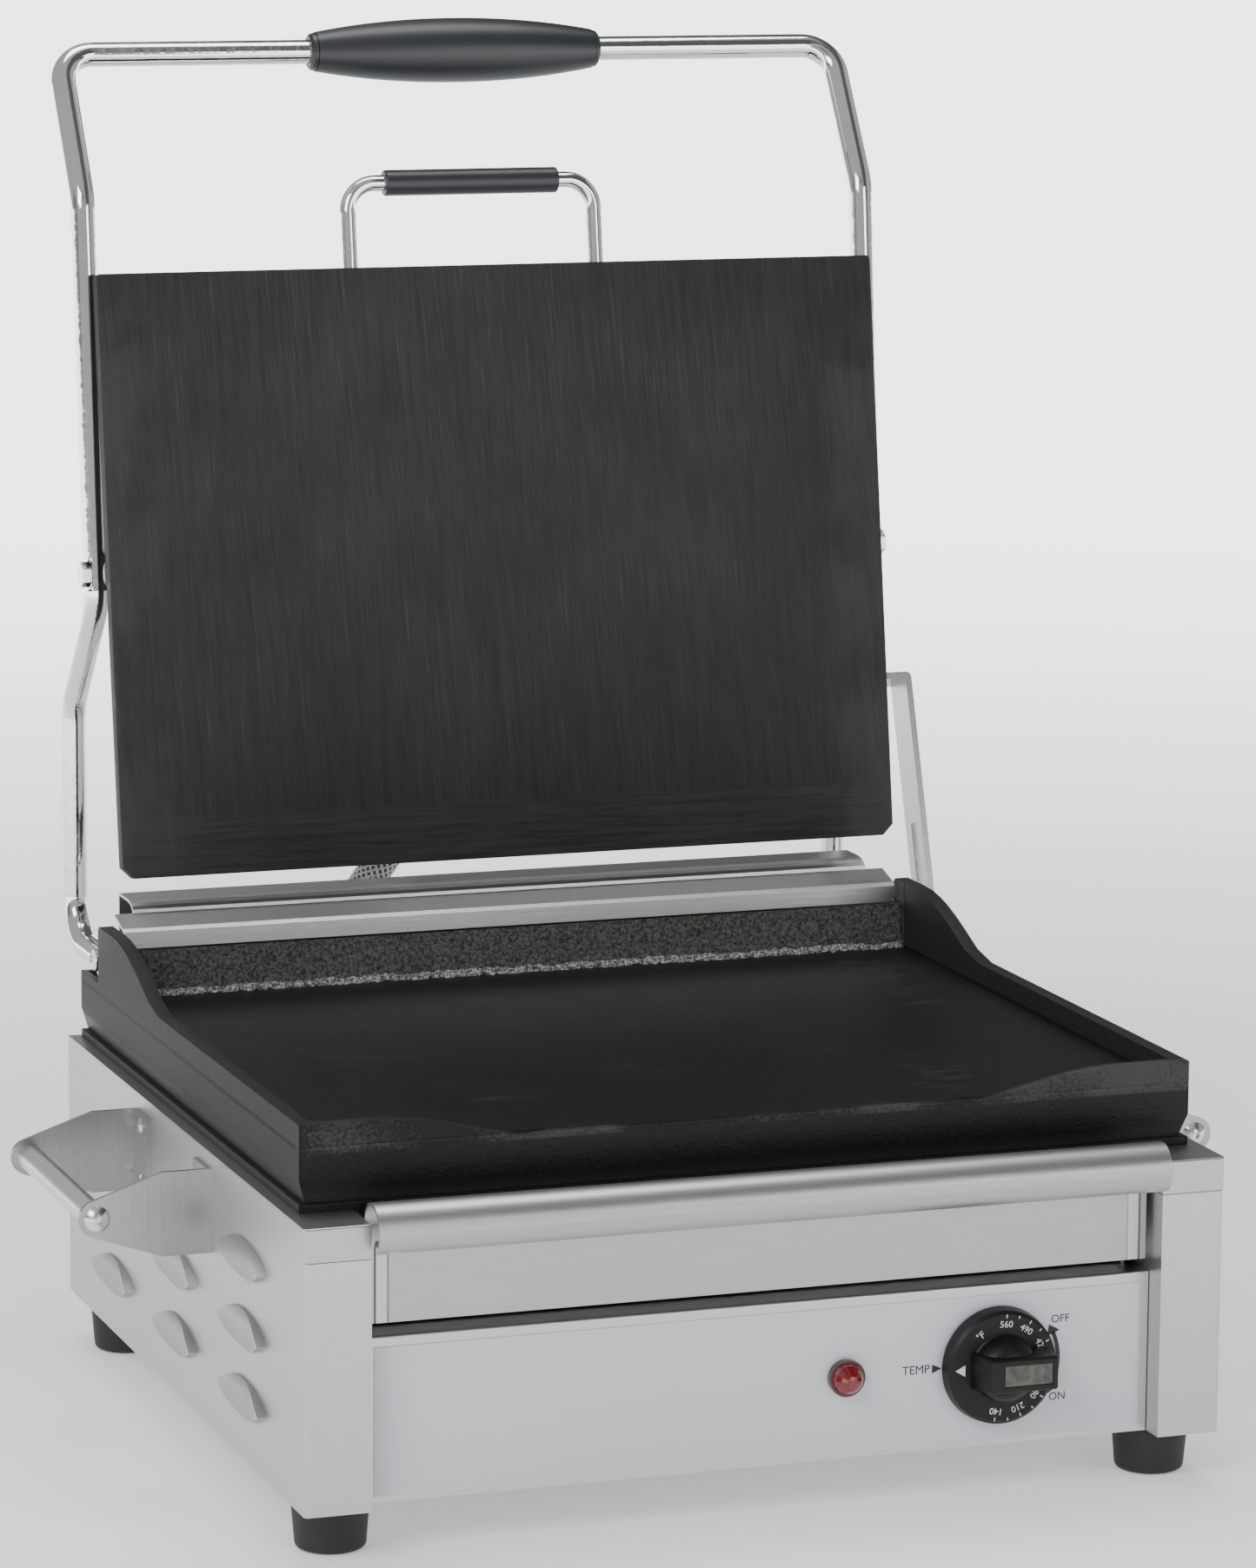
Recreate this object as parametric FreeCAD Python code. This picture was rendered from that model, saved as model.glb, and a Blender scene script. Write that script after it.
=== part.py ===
"""Counter-top panini press: a stainless casing on four feet, a cast lower grill plate, a grease drawer
under it, and a cast upper plate that hangs by two pivot bolts in a bent tube frame hinged behind the grill.

Millimetres. +Z is up, the front faces -Y and +X is to the right of a person standing in front.
Every piece is drawn round the casing's middle, and the whole is moved at the end so that the origin lies
under the middle of the overall box, at table level.
"""
import FreeCAD, Part
import math
import os
from FreeCAD import Placement, Rotation, Vector

# ---------------------------------------------------------------- driving dimensions
# casing
casing_width = 400.0
casing_depth = 375.0
casing_height = 118.5
sheet = 1.2                  # stainless sheet
bend_radius = 2.0            # outside radius of a folded corner
post_width = 28.0            # front faces of the side panels
front_recess = 12.0          # the drawer and the control panel stand this far behind the posts
deck_lip = 14.0              # down-turned front edge of the deck on each post
fold = 15.0                  # width of an inward fold
sheet_gap = 0.3              # between sheets of different pieces
shelf_height = 69.0          # top of the drawer shelf above the casing's bottom
louvre_length = 62.0
louvre_height = 16.5
louvre_rise = 4.0
louvre_pitch_y = 104.0
louvre_pitch_z = 29.5
louvre_front = -102.0        # the frontmost column
louvre_low = 27.0            # the lowest row above the casing's bottom

# feet
foot_height = 21.0
foot_top_radius = 16.3
foot_bottom_radius = 14.5
foot_round = 2.5
foot_from_side = 19.0
foot_from_end = 28.0

# lower grill plate
grill_width = 389.0
grill_front = 162.0          # in front of the casing's middle
grill_rear = 184.5
grill_wall = 6.5
grill_slab = 14.0
cook_height = 26.0           # cooking surface above the deck
rim_rise = 10.0              # side walls above the cooking surface
ear_rise = 30.5              # rear ears above the cooking surface
ear_front = 58.0
ear_flat = 130.0
ear_rear = 154.0
back_wall_front = 141.5      # foot of the sloping wall behind the cooking surface
back_wall_lean = 3.7
back_wall_rise = 20.0
back_wall_thickness = 8.0
arm_shelf_gap = 0.5          # between the lid's tube and the side walls behind the ears
bearing_ledge = 18.5         # ledge for the hinge bearings above the deck
spout_half = 100.0           # half the opening where the rim is left out
spout_rise_end = 165.0
draft_height = 13.5          # outside faces lean in below this height above the deck
draft_in = 3.0
foot_flange = 3.5

# tubular heaters
heater_rod = 4.0             # radius
heater_half_x = 140.0
heater_half_y = 100.0
upper_heater_edge = 35.0     # from the outermost runs to the cover's side
upper_heater_half_y = 78.0
heater_runs = 4              # pairs of runs
strap_width = 18.0
strap_thickness = 2.0
strap_station = 45.0
pan_depth = 9.0

# upper plate and its cover
plate_width = 369.0
plate_length = 269.0
plate_rim = 7.0
plate_pad = 4.0              # thicker middle
plate_pad_inset = 22.0
plate_chamfer = 5.0
plate_lean = 8.5             # degrees behind upright when the lid is open
plate_edge_y = 146.2         # hinge edge of the ground face when the lid is open
plate_edge_z = 218.0
closed_gap = 1.5             # between the two ground faces when the lid is shut
cover_side_inset = 14.5      # of the cover's sides from the plate's
cover_inset = 14.0
cover_height = 36.0
cover_sheet = 1.0
pivot_along = 136.3          # pivot bolts above the hinge edge
pivot_behind = 20.0          # pivot bolts behind the ground face
pivot_bolt_radius = 3.0
boss_radius = 8.0
stud_radius = 2.5
stud_spread = 50.0           # studs above and below the plate's middle

# lid frame and hinge
tube_diameter = 11.0
tube_wall = 1.5
arm_x = 186.0
hinge_height = 36.5          # hinge line above the deck
arm_rear = 227.0             # upright lower part of each arm
arm_step_z = 285.0           # where it cranks forward
arm_lean = 5.8               # degrees, the part that carries the pivots
arm_below_pivot = 15.0
arm_above_pivot = 167.0
top_lean = 33.0              # degrees, the part below the crossbar
top_run = 73.4
arm_tail_length = 6.5        # from the shaft's middle to the tube's open end
foot_bend = 20.0
crank_bend = 18.0
top_bend = 15.0
shaft_diameter = 10.0
bearing_clearance = 0.05     # radial
bearing_width = 14.0
bearing_stations = (62.0, 155.0)
spring_wire = 3.2
spring_clearance = 0.8       # between the shaft and the inside of its springs
spring_start = 76.0
spring_turns = 11
spring_pitch = 4.6
collar_width = 7.0
spigot_wall = 0.5            # of the tube beside the shaft's turned-down ends
bearing_ring_radius = 9.0
bearing_foot = 34.0
bearing_foot_thickness = 3.0
bearing_screw_spread = 12.5
bearing_screw_radius = 2.4
notch_depth = 3.0            # flat on each arm under the pivot bolt's head
notch_height = 15.0

# grips
grip_length = 139.0
grip_middle_diameter = 29.5
grip_end_diameter = 16.5
small_rod = 7.3
small_half = 59.0
small_reach = 308.5          # the rod's top above the hinge edge
small_behind = 26.0
small_bend = 13.0
small_grip_length = 83.0
small_grip_diameter = 11.8

# rear guard
guard_half = 185.0
guard_riser_half = 176.5
guard_front = 145.0
guard_lip = 9.0
guard_lip_top = 56.0         # above the deck
guard_ledge_rise = 4.0
guard_ledge = 15.5
guard_riser_rise = 4.8
guard_riser_run = 10.0
guard_screws_x = (-150.0, -50.0, 50.0, 150.0)

# grease drawer
drawer_side_gap = 2.0
drawer_depth = 250.0
drawer_height = 30.0
drawer_wall = 1.0
drawer_setback = 16.0        # the tray's front wall behind the front sheet
drawer_lift = 5.5            # bottom of the drawer front above the shelf
roll_radius = 11.0
roll_open_angle = 50.0       # how far the rolled lip passes below its front, degrees
roll_centre_rise = 47.0      # above the shelf
shelf_depth = 262.0
guide_wall = 1.5

# controls
control_height = 35.0        # knob and lamp centres above the casing's bottom
knob_x = 103.0
knob_diameter = 50.0
knob_skirt = 7.0
knob_grip_left = 15.0        # the bar reaches less far towards the dial's pointer
knob_grip_right = 19.5
knob_insert_left = 5.0
knob_grip_width = 17.0
knob_grip_height = 14.0
lamp_x = 35.5
lamp_diameter = 15.6
label_thickness = 0.5
label_margin = 4.5
spindle_radius = 3.0
lamp_barrel = 6.0

# carrying handles
handle_height = 115.0
handle_reach = 49.0
handle_span = 118.0
handle_middle = 7.0
handle_sheet = 2.0
handle_bracket_height = 36.0
handle_bar_diameter = 11.0
handle_end_radius = 8.0
handle_flat = 21.0
handle_flange = 22.0
handle_screw_set = 11.0      # screws in from the bracket's arm
handle_screw_spread = 12.5
handle_bolt_radius = 2.5

# lid stop bar
stop_offset = 19.0           # clear of the casing's side
stop_width = 20.0
stop_thickness = 3.0
stop_lean = 18.5
stop_middle_y = 197.0
stop_middle_z = 184.0
stop_above = 100.0
stop_below = 135.0
stop_slot = 6.2
stop_slot_above = 28.5
stop_slot_below = 125.0
stop_screws = (-62.0, -112.0)
stop_screw_radius = 3.0

# armoured conduit between the casing and the lid, and the glands
conduit_diameter = 16.0
conduit_x = -120.0
conduit_height = 67.0        # above the casing's bottom
conduit_loop = 44.5          # how far it stands out behind the casing
conduit_bends = (30.0, 70.0)
conduit_turn_along = 60.0    # where it turns to run up the cover, above the hinge edge
elbow_radius = 10.5
elbow_bend = 14.0
elbow_behind = 18.0          # the elbow's lower leg behind the cover
elbow_leg = 24.0
elbow_grip = 9.0             # how far the conduit enters the elbow
conduit_slack = 0.2
conduit_gland_length = 11.0
gland_thread = 10.0
inlet_bore = 4.0
inlet_x = 120.0
inlet_height = 32.0          # above the casing's bottom

# small fixings and the casing's back
screw_radius = 1.9
panel_screw_margin = 30.0
panel_foot_screws = (-72.0, 72.0)
foot_screw_radius = 2.5
foot_counterbore = 5.0
vent_rows = 3
vent_columns = 6
vent_low = 46.0
vent_pitch = 12.0
vent_length = 32.0
vent_gap = 8.0
vent_height = 4.0

running_gap = 0.06           # radial, pins that turn in holes
clear_gap = 0.5              # between parts that pass each other

# ---------------------------------------------------------------- places that follow from them
half_width = casing_width / 2
half_depth = casing_depth / 2
casing_bottom = foot_height
deck_top = casing_bottom + casing_height
deck_under = deck_top - sheet
bay_half = half_width - post_width               # half the opening between the posts
face_y = -half_depth + front_recess              # front faces of the panel and the drawer
shelf_top = casing_bottom + shelf_height
cook_z = deck_top + cook_height
rim_z = cook_z + rim_rise
ear_z = cook_z + ear_rise
slab_under = cook_z - grill_slab
grill_half = grill_width / 2
grill_inner = grill_half - grill_wall
hinge_z = deck_top + hinge_height
tube_radius = tube_diameter / 2
arm_shelf_z = hinge_z - tube_radius - arm_shelf_gap
ledge_z = deck_top + bearing_ledge
lean = math.radians(plate_lean)
plate_half = plate_width / 2
pivot_y = plate_edge_y + pivot_along * math.sin(lean) + pivot_behind * math.cos(lean)
pivot_z = plate_edge_z + pivot_along * math.cos(lean) - pivot_behind * math.sin(lean)
closed_pivot_z = cook_z + closed_gap + pivot_behind
hinge_y = hinge_z + pivot_y - closed_pivot_z     # a quarter turn then brings the pivots to their shut height
arm_dir = Vector(0, math.sin(math.radians(arm_lean)), math.cos(math.radians(arm_lean)))
top_dir = Vector(0, math.sin(math.radians(top_lean)), math.cos(math.radians(top_lean)))
pivot = Vector(0, pivot_y, pivot_z)
arm_crank = pivot - arm_dir * arm_below_pivot
arm_knee = pivot + arm_dir * arm_above_pivot
crossbar = arm_knee + top_dir * top_run
control_z = casing_bottom + control_height
lip_top_z = deck_top + guard_lip_top
roll_z = shelf_top + roll_centre_rise
arm_tail = math.hypot(arm_tail_length, tube_radius)
guard_rear = grill_rear + sheet
panel_screw_z = (casing_bottom + panel_screw_margin, deck_top - panel_screw_margin)
plate_back = plate_rim + cover_height            # the cover's outer face behind the ground face
cover_width = plate_width - 2 * cover_side_inset
upper_heater_half_x = cover_width / 2 - upper_heater_edge
spring_mean_radius = shaft_diameter / 2 + spring_clearance + spring_wire / 2
spigot_radius = min(shaft_diameter / 2, tube_radius - spigot_wall)
boss_inner = cover_width / 2
boss_outer = arm_x - tube_radius - 1.5
drawer_half = bay_half - drawer_side_gap
box_half = drawer_half - 4.0
box_floor = shelf_top + 1.0
front_end = face_y - 2 * roll_radius             # frontmost point, the rolled lip
rear_end = crossbar.y + grip_middle_diameter / 2  # rearmost point, the big grip
centre_shift = Vector(0, -(front_end + rear_end) / 2, 0)

X = Vector(1, 0, 0)
Y = Vector(0, 1, 0)
Z = Vector(0, 0, 1)
ORIGIN = Vector(0, 0, 0)


# ---------------------------------------------------------------- shape helpers
def box(x0, x1, y0, y1, z0, z1):
    return Part.makeBox(x1 - x0, y1 - y0, z1 - z0, Vector(x0, y0, z0))


def rod(radius, start, end):
    along = end - start
    return Part.makeCylinder(radius, along.Length, start, along)


def pipe(outer, inner, start, end):
    return rod(outer, start, end).cut(rod(inner, start, end))


def prism(points, depth):
    """A closed outline of points, pushed along the vector depth."""
    wire = Part.makePolygon(list(points) + [points[0]])
    return Part.Face(wire).extrude(depth)


def prism_x(outline, x0, x1):
    """An outline of (y, z) pairs, pushed from x0 to x1."""
    return prism([Vector(x0, y, z) for y, z in outline], X * (x1 - x0))


def strip_x(skin, thickness, x0, x1):
    """Folded sheet along X: skin lists (y, z), and the sheet lies to the right of that path."""
    points = [Vector(0, y, z) for y, z in skin]
    runs = [(after - before).normalize() for before, after in zip(points, points[1:])]
    inner = []
    for i, point in enumerate(points):
        into = runs[max(i - 1, 0)]
        out = runs[min(i, len(runs) - 1)]
        middle = (into + out).normalize()
        side = Vector(0, middle.z, -middle.y)
        inner.append(point + side * (thickness / middle.dot(out)))
    return prism_x(list(skin) + [(p.y, p.z) for p in reversed(inner)], x0, x1)


def mirrored(shape):
    return shape.mirror(ORIGIN, X)


def both_sides(shape):
    return Part.makeCompound([shape, mirrored(shape)])


def group(shapes):
    return Part.makeCompound(list(shapes))


def joined(shapes):
    whole = shapes[0].fuse(list(shapes[1:]))
    return whole.removeSplitter()


def edges_along(shape, direction, at):
    """Straight edges parallel to direction whose middle satisfies at(point)."""
    found = []
    for edge in shape.Edges:
        if len(edge.Vertexes) != 2:
            continue
        run = edge.Vertexes[1].Point - edge.Vertexes[0].Point
        if run.Length < 1e-6 or abs(abs(run.normalize().dot(direction)) - 1) > 1e-6:
            continue
        middle = (edge.Vertexes[1].Point + edge.Vertexes[0].Point) * 0.5
        if at(middle):
            found.append(edge)
    return found


def bent_rod(points, bends, outer, inner=0.0):
    """A rod or tube along straight runs, with an arc of the given radius at each inner point."""
    def ring(centre, normal):
        face = Part.Face(Part.Wire(Part.makeCircle(outer, centre, normal)))
        if inner:
            face = face.cut(Part.Face(Part.Wire(Part.makeCircle(inner, centre, normal))))
        return face

    pieces = []
    start = points[0]
    for i in range(1, len(points) - 1):
        into = (points[i] - points[i - 1]).normalize()
        out = (points[i + 1] - points[i]).normalize()
        turn = into.getAngle(out)
        reach = bends[i - 1] * math.tan(turn / 2)
        arc_start = points[i] - into * reach
        axis = into.cross(out).normalize()
        centre = arc_start + axis.cross(into) * bends[i - 1]
        if (arc_start - start).Length > 1e-6:
            pieces.append(ring(start, into).extrude(arc_start - start))
        pieces.append(ring(arc_start, into).revolve(centre, axis, math.degrees(turn)))
        start = points[i] + out * reach
    out = (points[-1] - points[-2]).normalize()
    pieces.append(ring(start, out).extrude(points[-1] - start))
    return joined(pieces)


def lid_point(x, behind, along):
    """A place given behind the upper plate's ground face and along it from the hinge edge, lid open."""
    return Vector(x, plate_edge_y + behind * math.cos(lean) + along * math.sin(lean),
                  plate_edge_z + along * math.cos(lean) - behind * math.sin(lean))


def in_lid(shape):
    """Moves a shape drawn with Z along the upper plate and Y behind its ground face to the open lid."""
    shape.Placement = Placement(Vector(0, plate_edge_y, plate_edge_z), Rotation(X, -plate_lean))
    return shape


def hexagon(across, height, base, direction):
    """A hexagonal head or nut, across its flats."""
    corner = across / math.sqrt(3)
    points = [Vector(corner * math.cos(math.radians(60 * i)), corner * math.sin(math.radians(60 * i)), 0)
              for i in range(6)]
    head = prism(points, Z * height)
    head.Placement = Placement(base, Rotation(Z, direction))
    return head


def button_screw(head_radius, head_height, shank_radius, length, seat, inward, socket=0.0):
    """A round-headed screw whose head sits on seat and whose shank runs inward."""
    outward = inward * -1
    head = Part.makeSphere(head_radius * 1.25, seat + inward * head_radius * 0.75)
    head = head.common(rod(head_radius, seat, seat + outward * head_height))
    screw = head.fuse(rod(shank_radius, seat, seat + inward * length))
    if socket:
        screw = screw.cut(hexagon(socket, head_height, seat + outward * head_height * 0.35, outward))
    return screw.removeSplitter()


# ---------------------------------------------------------------- casing
def louvre_places():
    """Column and row of each louvre, a triangle with its right angle at the front foot."""
    for column in range(3):
        for row in range(3 - column):
            yield louvre_front + louvre_pitch_y * column, casing_bottom + louvre_low + louvre_pitch_z * row


def louvre_body(y, z, grow):
    """A pointed lens pressed out of the left panel, its crown a shallow arch with a small step round its edge."""
    half = louvre_height / 2 + grow
    half_length = louvre_length / 2 + 3 * grow
    sweep = (half_length ** 2 + half ** 2) / (2 * half)
    outside = Vector(-half_width - 20, y, z)
    through = X * (20 + sheet)
    low_centre = Z * (half - sweep)
    disc_low = rod(sweep, outside + low_centre, outside + low_centre + through)
    disc_high = rod(sweep, outside - low_centre, outside - low_centre + through)
    rise = louvre_rise + grow
    crown = (louvre_height ** 2 / 3 + rise ** 2) / (2 * rise)
    crown_x = -half_width - rise + crown
    dome = rod(crown, Vector(crown_x, y - louvre_length, z), Vector(crown_x, y + louvre_length, z))
    return disc_low.common(disc_high).common(dome)


def side_panel_left():
    x_out = -half_width
    x_in = x_out + sheet
    y_front = -half_depth
    side = box(x_out, x_in, y_front, half_depth, casing_bottom, deck_under)
    post = box(x_out, -bay_half, y_front, y_front + sheet, casing_bottom, deck_top - deck_lip - sheet_gap)
    side = side.cut(box(x_out, x_in, y_front, y_front + sheet, deck_top - deck_lip - sheet_gap, deck_under))
    cheek = box(-bay_half - sheet, -bay_half, y_front, face_y + fold, casing_bottom,
                deck_top - deck_lip - sheet_gap)
    rear_fold = box(x_out, x_out + fold, half_depth - sheet, half_depth, casing_bottom, deck_under)
    bottom_fold = box(x_out, x_out + fold, y_front, half_depth, casing_bottom, casing_bottom + sheet)
    panel = joined([side, post, cheek, rear_fold, bottom_fold])
    corner = edges_along(panel, Z, lambda p: p.x < x_out + 0.01 and p.y < y_front + 0.01)
    panel = panel.makeFillet(bend_radius, corner)
    for y, z in louvre_places():
        inner = louvre_body(y, z, -sheet)
        panel = panel.cut(inner).fuse(louvre_body(y, z, 0.0).cut(inner))
    for y in handle_flange_holes():
        for z in handle_screw_heights():
            panel = panel.cut(rod(screw_radius, Vector(x_out - 1, y, z), Vector(x_in + 1, y, z)))
    for z in panel_screw_z:
        hole = Vector(x_out + fold / 2 + sheet, half_depth - 5, z)
        panel = panel.cut(rod(screw_radius, hole, hole + Y * 10))
    return panel.removeSplitter()


def side_panel_right():
    panel = mirrored(side_panel_left_plain)
    for along in stop_screws:
        centre = stop_point(along)
        panel = panel.cut(rod(stop_screw_radius, Vector(half_width - 5, centre.y, centre.z),
                              Vector(half_width + 5, centre.y, centre.z)))
    return panel


def deck():
    """The casing's top sheet, open under the grill plate and, in front, above the drawer."""
    top = box(-half_width, half_width, -half_depth, half_depth, deck_under, deck_top)
    top = top.cut(box(-bay_half, bay_half, -half_depth - 1, -grill_front + 6, deck_under - 1, deck_top + 1))
    top = top.cut(box(-heater_half_x - 12, heater_half_x + 12, -heater_half_y - 12, heater_half_y + 12,
                      deck_under - 1, deck_top + 1))
    lips = []
    for side in (-1, 1):
        low, high = sorted((side * half_width, side * bay_half))
        lips.append(box(low, high, -half_depth, -half_depth + sheet, deck_top - deck_lip, deck_top))
        cheek_low, cheek_high = sorted((side * bay_half, side * (bay_half + sheet)))
        lips.append(box(cheek_low, cheek_high, -half_depth, face_y, deck_top - deck_lip, deck_top))
    sheet_metal = joined([top] + lips)
    corners = edges_along(sheet_metal, Z, lambda p: abs(p.x) > half_width - 0.01 and p.y < -half_depth + 0.01)
    corners += edges_along(sheet_metal, X, lambda p: p.y < -half_depth + 0.01 and p.z > deck_top - 0.01)
    return sheet_metal.makeFillet(bend_radius - 0.9, corners)


def rear_panel():
    """Closes the back between the side panels' folds and carries the two glands."""
    x_half = half_width - sheet - sheet_gap
    y_in = half_depth - sheet - sheet_gap - sheet
    panel = box(-x_half, x_half, y_in, y_in + sheet, casing_bottom + sheet + sheet_gap, deck_under - sheet_gap)
    for place in (conduit_place, inlet_place):
        panel = panel.cut(rod(gland_thread + 0.1, place - Y * 10, place + Y * 5))
    for side in (-1, 1):
        for z in panel_screw_z:
            hole = Vector(side * (half_width - fold / 2 - sheet), half_depth - 8, z)
            panel = panel.cut(rod(screw_radius - 0.4, hole, hole + Y * 10))
    for row in range(vent_rows):
        z = casing_bottom + vent_low + row * vent_pitch
        for column in range(vent_columns):
            x = (column - vent_columns / 2) * (vent_length + vent_gap) + vent_gap / 2
            slot = box(x, x + vent_length, y_in - 5, y_in + 5, z, z + vent_height)
            panel = panel.cut(slot)
    return panel


def rear_screws():
    screws = []
    for side in (-1, 1):
        for z in panel_screw_z:
            seat = Vector(side * (half_width - fold / 2 - sheet), half_depth, z)
            screws.append(button_screw(3.6, 2.0, screw_radius - 0.4, 6.0, seat, Y * -1, 2.0))
    return group(screws)


def control_panel():
    """The front sheet below the drawer, folded back on top as the drawer's shelf and below as a floor edge."""
    half = bay_half - sheet_gap
    front = box(-half, half, face_y, face_y + sheet, casing_bottom, shelf_top)
    shelf = box(-half, half, face_y, face_y + shelf_depth, shelf_top - sheet, shelf_top)
    floor_edge = box(-half, half, face_y, face_y + fold, casing_bottom, casing_bottom + sheet)
    panel = joined([front, shelf, floor_edge])
    top_edge = edges_along(panel, X, lambda p: p.y < face_y + 0.01 and p.z > casing_bottom + 1)
    panel = panel.makeFillet(bend_radius - 0.8, top_edge)
    panel = panel.cut(rod(spindle_radius + 1.5, Vector(knob_x, face_y - 5, control_z),
                          Vector(knob_x, face_y + 5, control_z)))
    panel = panel.cut(rod(lamp_barrel + 0.1, Vector(lamp_x, face_y - 5, control_z),
                          Vector(lamp_x, face_y + 5, control_z)))
    for x in panel_foot_screws:
        panel = panel.cut(rod(screw_radius - 0.4, Vector(x, face_y + fold / 2, casing_bottom - 1),
                              Vector(x, face_y + fold / 2, casing_bottom + 5)))
    return panel


def control_label():
    half = bay_half - label_margin
    label = box(-half, half, face_y - label_thickness, face_y, casing_bottom + label_margin - 2.0,
                shelf_top - label_margin)
    label = label.cut(rod(spindle_radius + 1.5, Vector(knob_x, face_y - 5, control_z),
                          Vector(knob_x, face_y + 5, control_z)))
    return label.cut(rod(lamp_barrel + 0.1, Vector(lamp_x, face_y - 5, control_z),
                         Vector(lamp_x, face_y + 5, control_z)))


def bottom_plate():
    """The casing's floor, resting on the side panels' and the control panel's folds."""
    low = casing_bottom + sheet
    x_half = half_width - sheet - sheet_gap
    y_rear = half_depth - 2 * sheet - 2 * sheet_gap
    plate = box(-x_half, x_half, face_y + sheet + sheet_gap, y_rear, low, low + sheet)
    for side in (-1, 1):
        low_x, high_x = sorted((side * (bay_half - sheet_gap), side * (half_width + 1)))
        plate = plate.cut(box(low_x, high_x, -half_depth, face_y + fold + sheet_gap, low - 1, low + 5))
    for x, y in foot_places():
        plate = plate.cut(rod(foot_screw_radius, Vector(x, y, low - 5), Vector(x, y, low + 5)))
    for x in panel_foot_screws:
        plate = plate.cut(rod(screw_radius - 0.4, Vector(x, face_y + fold / 2, low - 5),
                              Vector(x, face_y + fold / 2, low + 5)))
    return plate


def floor_screws():
    """Screws up through the control panel's floor edge into the bottom plate."""
    return group(button_screw(3.4, 1.6, screw_radius - 0.4, 5.0,
                              Vector(x, face_y + fold / 2, casing_bottom), Z, 1.8) for x in panel_foot_screws)


# ---------------------------------------------------------------- feet
def foot_places():
    for side in (-1, 1):
        for y in (-half_depth + foot_from_end, half_depth - foot_from_end):
            yield side * (half_width - foot_from_side), y


def rubber_foot(x, y):
    foot = Part.makeCone(foot_bottom_radius, foot_top_radius, foot_height, Vector(x, y, 0), Z)
    edge = [e for e in foot.Edges if e.BoundBox.ZMax < 0.01]
    foot = foot.makeFillet(foot_round, edge)
    foot = foot.cut(rod(foot_screw_radius, Vector(x, y, foot_counterbore), Vector(x, y, foot_height + 1)))
    return foot.cut(rod(foot_screw_radius + 3.0, Vector(x, y, -1), Vector(x, y, foot_counterbore)))


def rubber_feet():
    return group(rubber_foot(x, y) for x, y in foot_places())


def foot_screws():
    screws = []
    for x, y in foot_places():
        seat = Vector(x, y, foot_counterbore)
        head = rod(foot_screw_radius + 2.2, seat - Z * 3.2, seat)
        shank = rod(foot_screw_radius, seat, Vector(x, y, casing_bottom + 2 * sheet + 4.0))
        nut = hexagon(8.0, 4.0, Vector(x, y, casing_bottom + 2 * sheet), Z)
        screws.append(joined([head, shank, nut]))
    return group(screws)


# ---------------------------------------------------------------- lower grill plate and what heats it
def rim_profile():
    """Top outline of a side wall from front to rear, as (y, z)."""
    points = [(-grill_front, rim_z), (ear_front - 8.0, rim_z)]
    steps = 8
    for i in range(1, steps + 1):
        share = i / steps
        rise = (ear_z - rim_z) * math.sin(share * math.pi / 2) ** 1.15
        points.append((ear_front + (ear_flat - ear_front) * share, rim_z + rise))
    points += [(ear_rear - 2.0, ear_z), (ear_rear, ear_z - 2.0)]
    points += [(ear_rear, arm_shelf_z), (grill_rear, arm_shelf_z)]
    return points


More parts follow.
